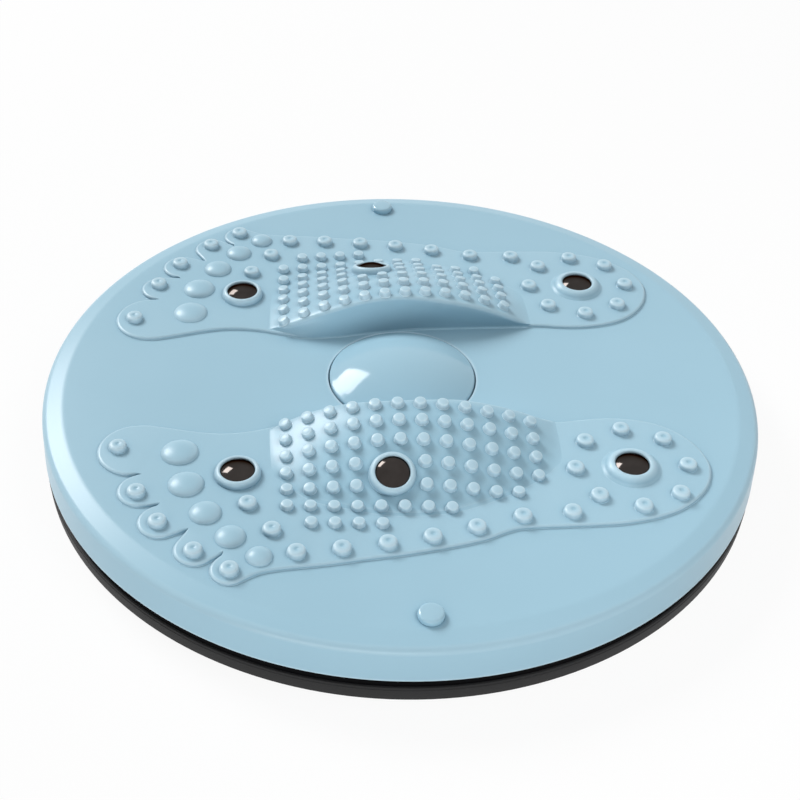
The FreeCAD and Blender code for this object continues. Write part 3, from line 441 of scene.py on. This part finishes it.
def spun(name, profile, steps, closed=True):
    """Extrudes a vertex along a profile of (radius, height) in mm and spins the line round the Z axis."""
    nothing_selected()
    start = Vector((profile[0][0], 0, profile[0][1])) * MM
    bpy.ops.mesh.primitive_plane_add(size=MM, location=(0, 0, 0))
    piece = bpy.context.object
    piece.name = name
    bpy.ops.object.mode_set(mode="EDIT")
    bpy.ops.mesh.select_all(action="SELECT")
    bpy.ops.mesh.merge(type="CENTER")
    bpy.ops.transform.translate(value=start)
    ends = profile[1:] + profile[:1] if closed else profile[1:]
    here = profile[0]
    for there in ends:
        step = Vector((there[0] - here[0], 0, there[1] - here[1])) * MM
        bpy.ops.mesh.extrude_region_move(TRANSFORM_OT_translate={"value": step})
        here = there
    bpy.ops.mesh.select_all(action="SELECT")
    bpy.ops.mesh.remove_doubles(threshold=WELD_GAP)
    bpy.ops.mesh.spin(steps=steps, angle=FULL_TURN, center=(0, 0, 0), axis=(0, 0, 1))
    bpy.ops.mesh.select_all(action="SELECT")
    bpy.ops.mesh.remove_doubles(threshold=WELD_GAP)
    bpy.ops.mesh.normals_make_consistent(inside=False)
    bpy.ops.object.mode_set(mode="OBJECT")
    return piece


def smooth(piece):
    """Smooth shading that keeps the sharp edges."""
    only(piece)
    bpy.ops.object.shade_smooth_by_angle(angle=SHARP_ANGLE)
    return piece


print("edges over", round(math.degrees(SHARP_ANGLE)), "degrees stay sharp")

# %% [markdown]
# ## Plate
# The deck is flat as far as the band near the rim, where it rolls off, and then turns over a tight
# shoulder into the skirt. The roll-off is taken to be the reason for the soft dark band at the front of
# the real disc. A Bevel modifier could round the rim, but roll-off and shoulder are two curves that run
# into each other, so both are drawn in the profile. Guard rings stand close beside each rounding on the
# straight lines, and keep its shading and its edge light off the flat faces. Below, the profile follows
# the underside: race land, cap well and hub.

# %% Plate shell
PLATE_RADIUS = high_mm("top_plate").x
SKIRT_EDGE = low_mm("top_plate").z
DECK = 27.0
SKIRT_LEAN = 0.6
ROLL_START = 140.0
SHOULDER = 3.0
WALL = 3.0
CAP_WELL = 31.2
CAP_SEAT = DECK - 2.0
NUT_WELL = 28.3
HUB_TOP = 21.9
HUB_FOOT = 14.0
HUB_RADIUS = 14.0
HUB_BORE = 6.18
LAND = (115.5, 131.3)
LAND_HEIGHT = 20.4
ROLL_ANGLE = 13.0
ROLL_RADIUS = 10.0
ROLL_STEPS = 6
ROLL_DROP = 1.3
SHOULDER_END = -2.6
SHOULDER_STEPS = 8
WELL_BREAK = 0.3
SKIRT_BREAK = (0.35, 0.4)
DECK_RINGS = [60.0, 100.0]
GUARDS = (0.7, 1.5)


def guards(start, end):
    """Points on the straight line from start to end, close to its start."""
    length = math.dist(start, end)
    return [(start[0] + (end[0] - start[0]) * guard / length,
             start[1] + (end[1] - start[1]) * guard / length) for guard in GUARDS]


slant = math.radians(ROLL_ANGLE)
wall_top = PLATE_RADIUS - SKIRT_LEAN
roll_arc = corner_arc((ROLL_START, DECK - ROLL_RADIUS), ROLL_RADIUS, 90, 90 - ROLL_ANGLE, ROLL_STEPS)
shoulder_start = wall_top - SHOULDER
fall = (shoulder_start + SHOULDER * math.sin(slant) - roll_arc[-1][0]) * math.tan(slant)
shoulder_centre = (shoulder_start, roll_arc[-1][1] - fall - SHOULDER * math.cos(slant))
shoulder_arc = corner_arc(shoulder_centre, SHOULDER, 90 - ROLL_ANGLE, SHOULDER_END, SHOULDER_STEPS)
deck_start = (CAP_WELL + WELL_BREAK, DECK)
skirt_foot = (PLATE_RADIUS, SKIRT_EDGE + SKIRT_BREAK[1])
upper_side = (
    [(CAP_WELL, CAP_SEAT), (CAP_WELL, DECK - WELL_BREAK), deck_start] + guards(deck_start, roll_arc[0])
    + [(radius, DECK) for radius in DECK_RINGS] + guards(roll_arc[0], deck_start)[::-1]
    + roll_arc + guards(roll_arc[-1], shoulder_arc[0]) + guards(shoulder_arc[0], roll_arc[-1])[::-1]
    + shoulder_arc + guards(shoulder_arc[-1], skirt_foot) + guards(skirt_foot, shoulder_arc[-1])[::-1])
under_side = [
    skirt_foot, (PLATE_RADIUS - SKIRT_BREAK[0], SKIRT_EDGE), (PLATE_RADIUS - WALL, SKIRT_EDGE),
    (wall_top - WALL, DECK - ROLL_DROP - WALL), (ROLL_START, DECK - WALL), (LAND[1], DECK - WALL),
    (LAND[1], LAND_HEIGHT), (LAND[0], LAND_HEIGHT), (LAND[0], DECK - WALL),
    (CAP_WELL + WALL, DECK - WALL), (CAP_WELL + WALL, HUB_TOP - WALL), (HUB_RADIUS, HUB_TOP - WALL),
    (HUB_RADIUS, HUB_FOOT), (HUB_BORE, HUB_FOOT), (HUB_BORE, HUB_TOP), (NUT_WELL, HUB_TOP),
    (NUT_WELL, CAP_SEAT)]
plate_profile = upper_side + under_side
plate = spun("plate_shell", plate_profile, ROUND_STEPS)
print("plate profile of", len(plate_profile), "corners")

# %% [markdown]
# ## Foot shapes
# The raised foot has five toes that meet in sharp notches, and a sole with a long smooth edge. Its
# outline is drawn once, for the foot at the back. It could be a Bezier curve, but points worked out in
# code can stand close together at the toes and wider apart along the sole. Each toe is an arc, and a
# smooth curve runs round the sole.

# %% Outline of one foot
TOES = [(-108.5, 44.0, 14.7), (-105.0, 67.4, 8.7), (-96.4, 84.6, 8.5), (-82.9, 99.6, 8.0),
        (-70.3, 110.2, 7.2)]
NOTCHES = [(-105.6, 58.4), (-96.8, 75.6), (-86.0, 89.3), (-72.2, 101.8)]
SOLE = [(-66.0, 116.0), (-59.3, 112.4), (-50.0, 110.7), (-35.7, 109.4), (-21.0, 107.3), (-5.0, 105.3),
        (12.5, 102.1), (24.0, 99.0), (33.0, 95.2), (39.5, 93.8), (52.0, 93.6), (66.4, 93.4), (76.2, 93.0),
        (85.4, 91.5), (93.7, 89.2), (101.0, 85.9), (107.6, 81.0), (112.8, 75.2), (116.0, 69.0),
        (117.4, 62.4), (116.6, 55.6), (114.2, 49.2), (110.2, 43.4), (104.6, 38.2), (97.6, 34.6),
        (89.5, 32.5), (81.2, 31.7), (72.6, 32.1), (64.9, 33.1), (56.0, 33.6), (45.0, 33.6), (34.0, 33.6),
        (22.0, 33.5), (10.0, 33.1), (0.0, 32.5), (-9.0, 31.7), (-18.0, 30.4), (-27.0, 29.1),
        (-36.0, 28.5), (-44.0, 29.2), (-52.0, 31.2), (-60.6, 33.8), (-68.3, 35.1), (-76.0, 35.3),
        (-84.7, 34.0), (-93.5, 31.8), (-101.3, 29.9)]
POINT_STEP = 1.5
SETTLE = math.radians(40)


def toe_arc(toe, start, end):
    """Points round a toe from notch to notch; the arc leaves each notch and soon settles to its radius."""
    x, y, radius = toe
    first = math.atan2(start[1] - y, start[0] - x) % FULL_TURN
    last = math.atan2(end[1] - y, end[0] - x) % FULL_TURN
    turn = (first - last) % FULL_TURN
    far_start, far_end = math.dist(start, (x, y)), math.dist(end, (x, y))
    count = round(turn * radius / POINT_STEP)
    made = []
    for step in range(count):
        gone = turn * step / count
        reach = radius
        reach += (far_start - radius) * max(0, 1 - gone / SETTLE) ** 2
        reach += (far_end - radius) * max(0, 1 - (turn - gone) / SETTLE) ** 2
        made.append((x + reach * math.cos(first - gone), y + reach * math.sin(first - gone)))
    return made


def between(before, start, end, after, share):
    """A value between start and end on the smooth curve through all four, by the Catmull-Rom rule."""
    before, start, end, after = (np.asarray(item, float) for item in (before, start, end, after))
    bend = (2 * before - 5 * start + 4 * end - after) * share ** 2
    twist = (3 * start - before - 3 * end + after) * share ** 3
    return 0.5 * (2 * start + (end - before) * share + bend + twist)


def sole_curve(points, per_span=3):
    """A smooth curve through the points of the sole."""
    padded = points[:1] + points + points[-1:]
    spans = zip(padded, padded[1:], padded[2:], padded[3:])
    return [tuple(between(*span, step / per_span)) for span in spans for step in range(per_span)]


stops = [SOLE[-1]] + NOTCHES + [SOLE[0]]
toe_points = [point for toe, start, end in zip(TOES, stops, stops[1:])
              for point in toe_arc(toe, start, end)]
outline = np.array(toe_points + sole_curve(SOLE))
print("foot outline of", len(outline), "points, from", outline.min(0).round(1),
      "to", outline.max(0).round(1))

# %% [markdown]
# The raised foot is a stack of loops. An extruded outline with a Bevel modifier could do it too, but loops
# allow one curve at the deck and another at the top. A circle is moved to the lowest outline, each further
# loop is extruded from the last one and drawn in a little, and the top loop is filled. The first loops make
# the small fillet at the deck, and the last ones make the soft edge round the toes. That edge catches the
# light as a line, and the painted edge highlight of the blue skin makes the line lighter.

# %% Stack loops
def put(mesh, start, points):
    """Moves the vertices from a number on to points in mm."""
    for offset, point in enumerate(points):
        mesh.vertices[start + offset].co = Vector(point) * MM


def stacked(name, loops):
    """A closed form from loops of equally many points: a circle is reshaped, extruded and filled."""
    count = len(loops[0])
    nothing_selected()
    bpy.ops.mesh.primitive_circle_add(vertices=count, radius=MM)
    piece = bpy.context.object
    put(piece.data, 0, loops[0])
    bpy.ops.object.mode_set(mode="EDIT")
    bpy.ops.mesh.select_all(action="SELECT")
    bpy.ops.mesh.edge_face_add()
    bpy.ops.mesh.region_to_loop()
    for loop in loops[1:]:
        bpy.ops.mesh.extrude_edges_move()
        bpy.ops.object.mode_set(mode="OBJECT")
        put(piece.data, len(piece.data.vertices) - count, loop)
        bpy.ops.object.mode_set(mode="EDIT")
    bpy.ops.mesh.edge_face_add()
    bpy.ops.mesh.select_face_by_sides(number=4, type="GREATER")
    bpy.ops.mesh.quads_convert_to_tris(ngon_method="BEAUTY")
    bpy.ops.mesh.select_mode(type="VERT")
    bpy.ops.mesh.select_all(action="SELECT")
    bpy.ops.mesh.normals_make_consistent(inside=False)
    bpy.ops.object.mode_set(mode="OBJECT")
    piece.name = name
    return piece


def drawn_in(points, distance):
    """A closed outline moved inwards, each point square to the line between its neighbours."""
    along = np.roll(points, -1, 0) - np.roll(points, 1, 0)
    along /= np.linalg.norm(along, axis=1)[:, None]
    return points + distance * np.stack([along[:, 1], -along[:, 0]], 1)


RELIEF = 1.3
RELIEF_STEPS = [(0.65, -0.4), (-0.25, -0.3), (-0.25, -0.01), (-0.08, 0.1), (0, 0.3), (0.07, 0.62),
                (0.27, 0.93), (0.58, 1.15), (0.95, 1.27), (1.3, RELIEF)]
after_points = np.roll(outline, -1, 0)
signed_area = 0.5 * np.sum(outline[:, 0] * after_points[:, 1] - after_points[:, 0] * outline[:, 1])
inward = 1 if signed_area < 0 else -1
relief_loops = []
for inset, height in RELIEF_STEPS:
    ring = drawn_in(outline, inward * inset)
    relief_loops.append([(x, y, DECK + height) for x, y in ring])
relief = stacked("relief", relief_loops)
print("relief has", len(relief.data.vertices), "vertices")

# %% [markdown]
# ## Arch hump
# The hump under the arch of the foot is steep on the inside and falls off smoothly to the outside. It
# could be sculpted, but the nubs on it need its height and its direction at every place. So a few
# functions describe its form, from values at evenly spaced stations along the foot: where its wall
# stands, where its crest runs and how wide its slope is.

# %% Form of the hump
HUMP_MIDDLE = 2.0
HUMP_HALF = 57.0
HUMP_TOP = 15.0
WALL_FOOT = [32.6, 28.7, 29.0, 31.2, 32.8, 33.5, 33.6, 33.6, 33.6]
CREST = [34.0, 33.1, 33.8, 35.8, 36.6, 35.7, 34.4, 33.9, 33.7]
SLOPE_WIDTH = [30.0, 43.5, 48.0, 50.0, 50.0, 49.0, 44.0, 36.0, 26.0]
END_SOFTNESS = 0.5
CREST_ROUND = 1.7
ROUND_SHARE = 0.6
SLOPE_POWER = 1.5


def at_station(table, station):
    """A value of a table of evenly spaced stations from -1 to 1."""
    place = (min(max(station, -1), 1) + 1) / 2 * (len(table) - 1)
    low = min(int(place), len(table) - 2)
    ends = [table[max(low - 1, 0)], table[low], table[low + 1], table[min(low + 2, len(table) - 1)]]
    return float(between(*ends, place - low))


def crest_height(station):
    """Height of the crest above the foot shape: a parabola that runs out softly at both ends."""
    rise = HUMP_TOP * (1 - station ** 2)
    return 0.5 * (rise + math.sqrt(rise ** 2 + END_SOFTNESS ** 2)) if rise < HUMP_TOP / 2 else rise


def crest_line(station):
    """Distance of the crest from the spin axis; it leaves room for the rounding above the wall's foot."""
    rounding = min(CREST_ROUND, ROUND_SHARE * crest_height(station))
    return max(at_station(CREST, station), at_station(WALL_FOOT, station) + rounding), rounding


def slope_fall(share):
    """What is left of the crest's height at a share of the way from the crest to the slope's end."""
    return max(0, 1 - max(0, share) ** 2) ** SLOPE_POWER


def slope_height(x, y):
    """Height of the hump above the foot shape at a place outside its crest."""
    station = (x - HUMP_MIDDLE) / HUMP_HALF
    crest = crest_line(station)[0]
    share = (y - crest) / at_station(SLOPE_WIDTH, station)
    return crest_height(station) * slope_fall(share)


def slope_normal(x, y, reach=1.5):
    """Direction square to the hump at a place."""
    along = slope_height(x + reach, y) - slope_height(x - reach, y)
    across = slope_height(x, y + reach) - slope_height(x, y - reach)
    return Vector((-along, -across, 2 * reach)).normalized()


print("crest", round(crest_height(0), 2), "mm over the foot, ends at", round(crest_height(1), 2))

# %% [markdown]
# A Displace modifier could raise the hump from a flat grid, but would stretch a few faces over its steep
# wall. So each vertex of the grid is put in its place instead. The columns follow one another along the
# foot. In each, the points run from the fillet at the deck up the wall, over the rounded crest and down
# the slope. Both ends tuck in under the foot shape, and the rim of the grid is drawn down a little into
# it and closed.

# %% Shape the grid
HUMP_FILLET = [(-1.0, -0.05), (-0.45, 0.08), (-0.12, 0.35)]
WALL_START = 0.9
OUTER_SINK = 0.04
HUMP_HEM = 0.6
WALL_ROWS = 4
ROUND_ROWS = 5
SLOPE_ROWS = 22
HUMP_COLUMNS = 96
HUMP_REACH = 1.05
END_TUCK = 1.0
END_SINK = 0.4


def hump_section(station):
    """Points across the hump from the fillet at the deck to the outer end of the slope, as (y, z)."""
    foot, height = at_station(WALL_FOOT, station), crest_height(station)
    crest, rounding = crest_line(station)
    top = DECK + RELIEF + height
    start = DECK + WALL_START
    points = [(foot + out, DECK + up) for out, up in HUMP_FILLET]
    for row in range(WALL_ROWS):
        share = row / WALL_ROWS
        points.append((foot + (crest - rounding - foot) * share, start + (top - rounding - start) * share))
    for row in range(ROUND_ROWS):
        angle = math.pi / 2 * row / ROUND_ROWS
        points.append((crest - rounding * math.cos(angle), top - rounding + rounding * math.sin(angle)))
    for row in range(SLOPE_ROWS + 1):
        share = row / SLOPE_ROWS
        rise = height * slope_fall(share) - OUTER_SINK * share ** 4
        points.append((crest + at_station(SLOPE_WIDTH, station) * share, DECK + RELIEF + rise))
    tuck = END_TUCK * max(0, abs(station) - 1) / (HUMP_REACH - 1)
    return [(y + tuck, z - END_SINK * tuck) for y, z in points]


rows = len(hump_section(0))
nothing_selected()
bpy.ops.mesh.primitive_grid_add(x_subdivisions=HUMP_COLUMNS, y_subdivisions=rows - 1, size=MM)
hump = bpy.context.object
hump.name = "arch_hump"
columns = HUMP_COLUMNS + 1
for column in range(columns):
    station = HUMP_REACH * (2 * column / HUMP_COLUMNS - 1)
    x = HUMP_MIDDLE + HUMP_HALF * station
    for row, (y, z) in enumerate(hump_section(station)):
        hump.data.vertices[row * columns + column].co = Vector((x, y, z)) * MM
only(hump)
bpy.ops.object.mode_set(mode="EDIT")
bpy.ops.mesh.select_all(action="DESELECT")
bpy.ops.mesh.select_non_manifold()
bpy.ops.mesh.extrude_edges_move(TRANSFORM_OT_translate={"value": (0, 0, -HUMP_HEM * MM)})
bpy.ops.mesh.edge_face_add()
bpy.ops.mesh.select_all(action="SELECT")
bpy.ops.mesh.normals_make_consistent(inside=False)
bpy.ops.object.mode_set(mode="OBJECT")
print("hump has", len(hump.data.polygons), "faces")

# %% [markdown]
# ## Nubs, pads and collars
# Every massage nub is a small turned form. Each could be modelled where it stands, but then no two would
# be alike. So one large and one small nub are spun from a few corners, to be copied. The smooth pads
# under the toes are low half ellipses, each of its own width. They have few rings and sides: with more of
# them, small light ticks showed near their tips in the edge light of the plate. The collars round the
# magnets are turned rings, and the one at the heel spreads wider at its foot.

# %% Model one of each
NUB = [(0, -0.7), (4.0, -0.05), (3.65, 0.2), (3.5, 1.6), (3.2, 2.15), (2.6, 2.42), (1.1, 2.45), (0.6, 2.22),
       (0, 2.12)]
SMALL_NUB = [(0, -0.9), (3.0, -0.3), (2.58, 0.2), (2.42, 1.5), (2.1, 2.1), (1.5, 2.3), (0, 2.33)]
PAD_HEIGHT = 2.4
PAD_RINGS = 8
PAD_FOOT_ANGLE = 6
pad_arc = corner_arc((0, 0), 1, PAD_FOOT_ANGLE, 90, PAD_RINGS)
PAD = [(0, -0.6), (1.05, -0.05)] + [(out, PAD_HEIGHT * up) for out, up in pad_arc]
COLLAR = [(6.7, -1.9), (9.3, -1.6), (9.2, -0.3), (9.12, 0.15), (8.95, 1.2), (8.65, 2.0), (8.15, 2.55),
          (7.6, 2.78), (7.1, 2.72), (6.8, 2.5), (6.7, 2.2)]
HEEL_COLLAR = [(6.7, -0.6), (12.2, -0.06), (11.3, 0.15), (10.4, 1.15), (9.3, 2.15), (8.3, 2.75),
               (7.6, 2.85), (7.1, 2.7), (6.8, 2.4), (6.7, 1.9)]
NUB_SIDES = 16
PAD_SIDES = 24
COLLAR_SIDES = 40
nub_form = spun("nub_form", NUB, NUB_SIDES, closed=False)
small_form = spun("small_nub_form", SMALL_NUB, NUB_SIDES, closed=False)
collar_form = spun("collar_form", COLLAR, COLLAR_SIDES)
heel_collar_form = spun("heel_collar_form", HEEL_COLLAR, COLLAR_SIDES)
print("one nub has", len(nub_form.data.polygons), "faces, a small one", len(small_form.data.polygons))

# %% [markdown]
# The large nubs follow the edge of the sole and ring the heel, and the small ones stand in columns over
# the arch. Geometry nodes could scatter them, but on the real disc each nub has its place, so the large
# ones are listed and the small ones counted off in columns. On the hump they stand square to the surface,
# so each copy is turned to its direction there. Each copy gets its own mesh, and its place goes into that
# mesh, so that the object itself stays at the origin.

# %% Copy them to their places
def copied(form, point, upward=Vector((0, 0, 1))):
    """A copy of a form, turned upward and moved to a point in mm, all in its own mesh."""
    only(form)
    bpy.ops.object.duplicate(linked=False)
    copy = bpy.context.object
    turn = upward.to_track_quat("Z", "Y").to_matrix().to_4x4()
    copy.data.transform(Matrix.Translation(Vector(point) * MM) @ turn)
    return copy


SOLE_TOP = DECK + RELIEF
LARGE_PLACES = [(-115.1, 43.3), (-106.1, 69.3), (-97.2, 85.8), (-83.4, 101.4), (-70.2, 111.4),
                (-64.1, 77.6), (-55.1, 91.9), (-46.2, 103.8), (-29.6, 102.7), (-12.7, 100.7), (4.0, 98.0),
                (20.9, 93.8), (38.8, 88.7), (58.0, 87.2)]
HEEL = (85.7, 62.8)
HEEL_RING = 22.4
HEEL_NUBS = 8
PAD_PLACES = [(-90.9, 47.0, 7.4), (-87.7, 65.5, 7.0), (-79.8, 81.5, 6.15), (-70.3, 94.5, 5.8),
              (-59.7, 105.0, 5.0)]
COLUMN_ROWS = [range(6), range(7), range(7), range(7), (0, 1, 2, 5, 6), (0, 1, 2, 5),
               range(6), range(6), range(5), range(5), range(5), range(4)]
PITCH = 8.85
FIRST_COLUMN = -49.4
FIRST_ROW = 35.2
ROW_DRIFT = 0.55
LAST_DRIFT = 9
MAGNETS = {"toe": (-68.1, 60.4, 0), "arch": (-9.1, 69.4, 23), "heel": (*HEEL, 0)}

foot_pieces = [relief, hump]
ring_places = [(HEEL[0] + HEEL_RING * math.cos(FULL_TURN * step / HEEL_NUBS),
                HEEL[1] + HEEL_RING * math.sin(FULL_TURN * step / HEEL_NUBS)) for step in range(HEEL_NUBS)]
for x, y in LARGE_PLACES + ring_places:
    foot_pieces.append(copied(nub_form, (x, y, SOLE_TOP)))
for column, present in enumerate(COLUMN_ROWS):
    for row in present:
        x = FIRST_COLUMN + PITCH * column
        y = FIRST_ROW + PITCH * row + ROW_DRIFT * min(column, LAST_DRIFT)
        foot_pieces.append(copied(small_form, (x, y, SOLE_TOP + slope_height(x, y)), slope_normal(x, y)))
for x, y, radius in PAD_PLACES:
    pad = spun("pad", [(across * radius, up) for across, up in PAD], PAD_SIDES, closed=False)
    foot_pieces.append(copied(pad, (x, y, SOLE_TOP)))
    only(pad)
    bpy.ops.object.delete()
print(len(foot_pieces), "pieces on one foot")

# %% [markdown]
# Three magnets sit in each foot, each in a raised collar, and the one on the arch leans outwards with the
# slope. Collar and magnet could each be placed by hand, but one function gives the seat to both, so that
# they can't drift apart.

# %% Seats of the magnets
def magnet_seat(name):
    """Centre of a magnet on the foot shape and the direction of its axis."""
    x, y, lean = MAGNETS[name]
    angle = math.radians(lean)
    return Vector((x, y, SOLE_TOP + slope_height(x, y))), Vector((0, math.sin(angle), math.cos(angle)))


for name in MAGNETS:
    centre, upward = magnet_seat(name)
    form = heel_collar_form if name == "heel" else collar_form
    foot_pieces.append(copied(form, centre, upward))
nothing_selected()
for form in (nub_form, small_form, collar_form, heel_collar_form):
    form.select_set(True)
bpy.ops.object.delete()
print("collars stand at", [tuple(round(value, 1) for value in magnet_seat(name)[0]) for name in MAGNETS])

# %% [markdown]
# The foot at the front is the mirror image of the one at the back. A Mirror modifier could make it, but a
# copy that is mirrored in its mesh can be joined with the plate into one moulding at once. Such a copy is
# inside out, so its normals are recalculated. No boolean is used, because the forms only overlap, and
# that doesn't show.

# %% Join the moulding
nothing_selected()
for piece in foot_pieces:
    piece.select_set(True)
bpy.context.view_layer.objects.active = relief
bpy.ops.object.join()
foot = bpy.context.object
bpy.ops.object.duplicate(linked=False)
other_foot = bpy.context.object
other_foot.data.transform(Matrix.Diagonal((1, -1, 1, 1)))
bpy.ops.object.mode_set(mode="EDIT")
bpy.ops.mesh.select_all(action="SELECT")
bpy.ops.mesh.normals_make_consistent(inside=False)
bpy.ops.object.mode_set(mode="OBJECT")
foot.select_set(True)
plate.select_set(True)
bpy.context.view_layer.objects.active = plate
bpy.ops.object.join()
smooth(plate)
keep(plate, "top_plate_shell", "blue_shell", blue_shell, "platform", "top_plate")

# %% [markdown]
# ## Centre cap, plugs and magnets
# The cap is a shallow dome with a tight rounded edge that sits in its well with a thin dark gap. A
# flattened ball could stand in for it, but would lack that edge. So it is drawn as a hollow shell with a
# short spigot, all one profile spun round the axis.

# %% Centre cap
CAP_RADIUS = high_mm("centre_cap").x
CAP_TOP = high_mm("centre_cap").z
CAP_FOOT = low_mm("centre_cap").z
CAP_EDGE = DECK + 0.6
CAP_ROUNDING = [(0, -0.35), (-0.12, -0.05), (-0.45, 0.2)]
DOME_START = (0.9, 0.42)
SPIGOT = 28.15
CAP_WALL = 2.2
INNER_RISE = 0.5
INNER_RINGS = 8
DOME_RINGS = 20
CAP_STEPS = 128


def dome_points(radius, foot, top, steps):
    """Points of a shallow ball-shaped dome from its edge to the axis."""
    rise = top - foot
    ball = (radius ** 2 + rise ** 2) / (2 * rise)
    reach = math.asin(radius / ball)
    angles = [reach * (1 - step / steps) for step in range(steps + 1)]
    return [(ball * math.sin(angle), top - ball + ball * math.cos(angle)) for angle in angles]


inside = dome_points(
    SPIGOT - CAP_WALL, CAP_EDGE - CAP_WALL + INNER_RISE, CAP_TOP - CAP_WALL, INNER_RINGS)
cap_profile = (
    [(0, CAP_TOP - CAP_WALL)] + inside[-2::-1]
    + [(SPIGOT - CAP_WALL, CAP_FOOT), (SPIGOT, CAP_FOOT), (SPIGOT, CAP_SEAT), (CAP_RADIUS, CAP_SEAT)]
    + [(CAP_RADIUS + out, CAP_EDGE + up) for out, up in CAP_ROUNDING]
    + dome_points(CAP_RADIUS - DOME_START[0], CAP_EDGE + DOME_START[1], CAP_TOP, DOME_RINGS))
cap = smooth(spun("cap", cap_profile, CAP_STEPS, closed=False))
keep(cap, "cap_dome", "blue_cap", blue_cap, "platform", "centre_cap")

# %% [markdown]
# Two round buttons stand in front of the cap and behind it. They are taken to close holes for pull ropes,
# with a barb under each that snaps in. A bevelled cylinder would look alike from above, but a turned form
# has the barb too. Both are copies of it, and the frame says where they go.

# %% Plugs
PLUG_STEPS = 48
PLUG = [(0, -4.5), (3.1, -4.5), (3.55, -3.2), (3.2, -3.1), (3.2, 0), (4.75, 0), (4.85, 0.2), (4.85, 1.3),
        (4.7, 1.9), (4.35, 2.3), (3.8, 2.45), (3.0, 2.5), (1.5, 2.6), (0, 2.62)]
plug_form = smooth(spun("plug_form", PLUG, PLUG_STEPS, closed=False))
for side in ("back", "front"):
    node = side + "_hole_plug"
    middle = (low_mm(node) + high_mm(node)) / 2
    plug = copied(plug_form, (0, middle.y, DECK))
    keep(plug, side + "_plug_button", "blue_plug", blue_plug, "platform", node)
only(plug_form)
bpy.ops.object.delete()

# %% [markdown]
# Each magnet is a polished dome that stands up inside its collar, and a flange at its foot keeps it from
# coming out. A cut ball could be set on a disc, but one profile holds dome and flange together. The dome
# is part of a ball, like the cap, so that the same helper draws both.

# %% Magnets
MAGNET_RADIUS = 6.65
MAGNET_TOP = 4.0
MAGNET_DOME = 2.0
MAGNET_FOOT = -5.5
FLANGE_RADIUS = 8.0
FLANGE_TOP = -4.3
MAGNET_RINGS = 14
MAGNET_STEPS = 56
magnet_profile = (
    [(0, MAGNET_FOOT), (FLANGE_RADIUS, MAGNET_FOOT), (FLANGE_RADIUS, FLANGE_TOP),
     (MAGNET_RADIUS, FLANGE_TOP)]
    + dome_points(MAGNET_RADIUS, MAGNET_TOP - MAGNET_DOME, MAGNET_TOP, MAGNET_RINGS))
magnet_form = smooth(spun("magnet_form", magnet_profile, MAGNET_STEPS, closed=False))
for name in MAGNETS:
    centre, upward = magnet_seat(name)
    for side, direction in (("left", -1), ("right", 1)):
        place = Vector((centre.x, direction * centre.y, centre.z))
        lean = Vector((0, direction * upward.y, upward.z))
        magnet = copied(magnet_form, place, lean)
        keep(magnet, f"{side}_{name}_chrome_dome", "magnet_chrome", magnet_chrome, "platform",
             f"{side}_{name}_magnet")
only(magnet_form)
bpy.ops.object.delete()

# %% [markdown]
# ## Grip ring
# The soft ring round the foot of the base has a thin raised line near its upper edge. The line could be a
# thin torus laid round the ring, but drawn into the profile it is one piece with it, as on a moulded
# part.

# %% Grip ring
RING_RADIUS = high_mm("anti_slip_ring").x
RING_TOP = high_mm("anti_slip_ring").z
RING_WALL = 2.2
RING_FOOT = 2.6
RING_WIDTH = 21.0
RING_FOOT_ROUNDING = [(-0.25, 0), (-0.05, 0.08), (0, 0.3)]
RIDGE = [(0, 4.4), (0.18, 4.55), (0.18, 5.0), (0, 5.15)]
RING_TOP_ROUNDING = [(-0.1, -0.15), (-0.3, 0)]
ring_profile = (
    [(RING_RADIUS - RING_WIDTH, 0)]
    + [(RING_RADIUS + out, up) for out, up in RING_FOOT_ROUNDING + RIDGE]
    + [(RING_RADIUS + out, RING_TOP + up) for out, up in RING_TOP_ROUNDING]
    + [(RING_RADIUS - RING_WALL, RING_TOP), (RING_RADIUS - RING_WALL, RING_FOOT),
       (RING_RADIUS - RING_WIDTH, RING_FOOT)])
grip = smooth(spun("grip", ring_profile, ROUND_STEPS))
keep(grip, "grip_ring", "soft_grip", soft_grip, "base", "anti_slip_ring")

# %% [markdown]
# ## Floor
# The table is plain white. A lit white surface alone would turn grey away from the lamps, and a glowing
# one would lose the shadow. So it is a mix: the camera sees it almost as pure white, but part of it is
# lit and keeps the soft shadow at the foot of the disc.

# %% Floor
TABLE_SIZE = 8
TABLE_GREY = (0.9, 0.9, 0.9, 1)
FLOOR_WHITE_SHARE = 0.92
bpy.ops.mesh.primitive_plane_add(size=TABLE_SIZE, location=(0, 0, 0))
floor = bpy.context.object
floor.name = "table"
white = bpy.data.materials.new("table_white")
white.use_nodes = True
white.node_tree.nodes.clear()
make, join = white.node_tree.nodes.new, white.node_tree.links.new
out, mix, share = make("ShaderNodeOutputMaterial"), make("ShaderNodeMixShader"), make("ShaderNodeMath")
lit, glow = make("ShaderNodeBsdfDiffuse"), make("ShaderNodeEmission")
lit.inputs["Color"].default_value = TABLE_GREY
glow.inputs["Color"].default_value = WHITE
share.operation = "MULTIPLY"
share.inputs[1].default_value = FLOOR_WHITE_SHARE
join(seen_ray(make, join), share.inputs[0])
join(share.outputs[0], mix.inputs["Fac"])
join(lit.outputs[0], mix.inputs[1])
join(glow.outputs[0], mix.inputs[2])
join(mix.outputs[0], out.inputs["Surface"])
floor.data.materials.append(white)
print("table is", round(floor.dimensions.x, 1), "m wide")
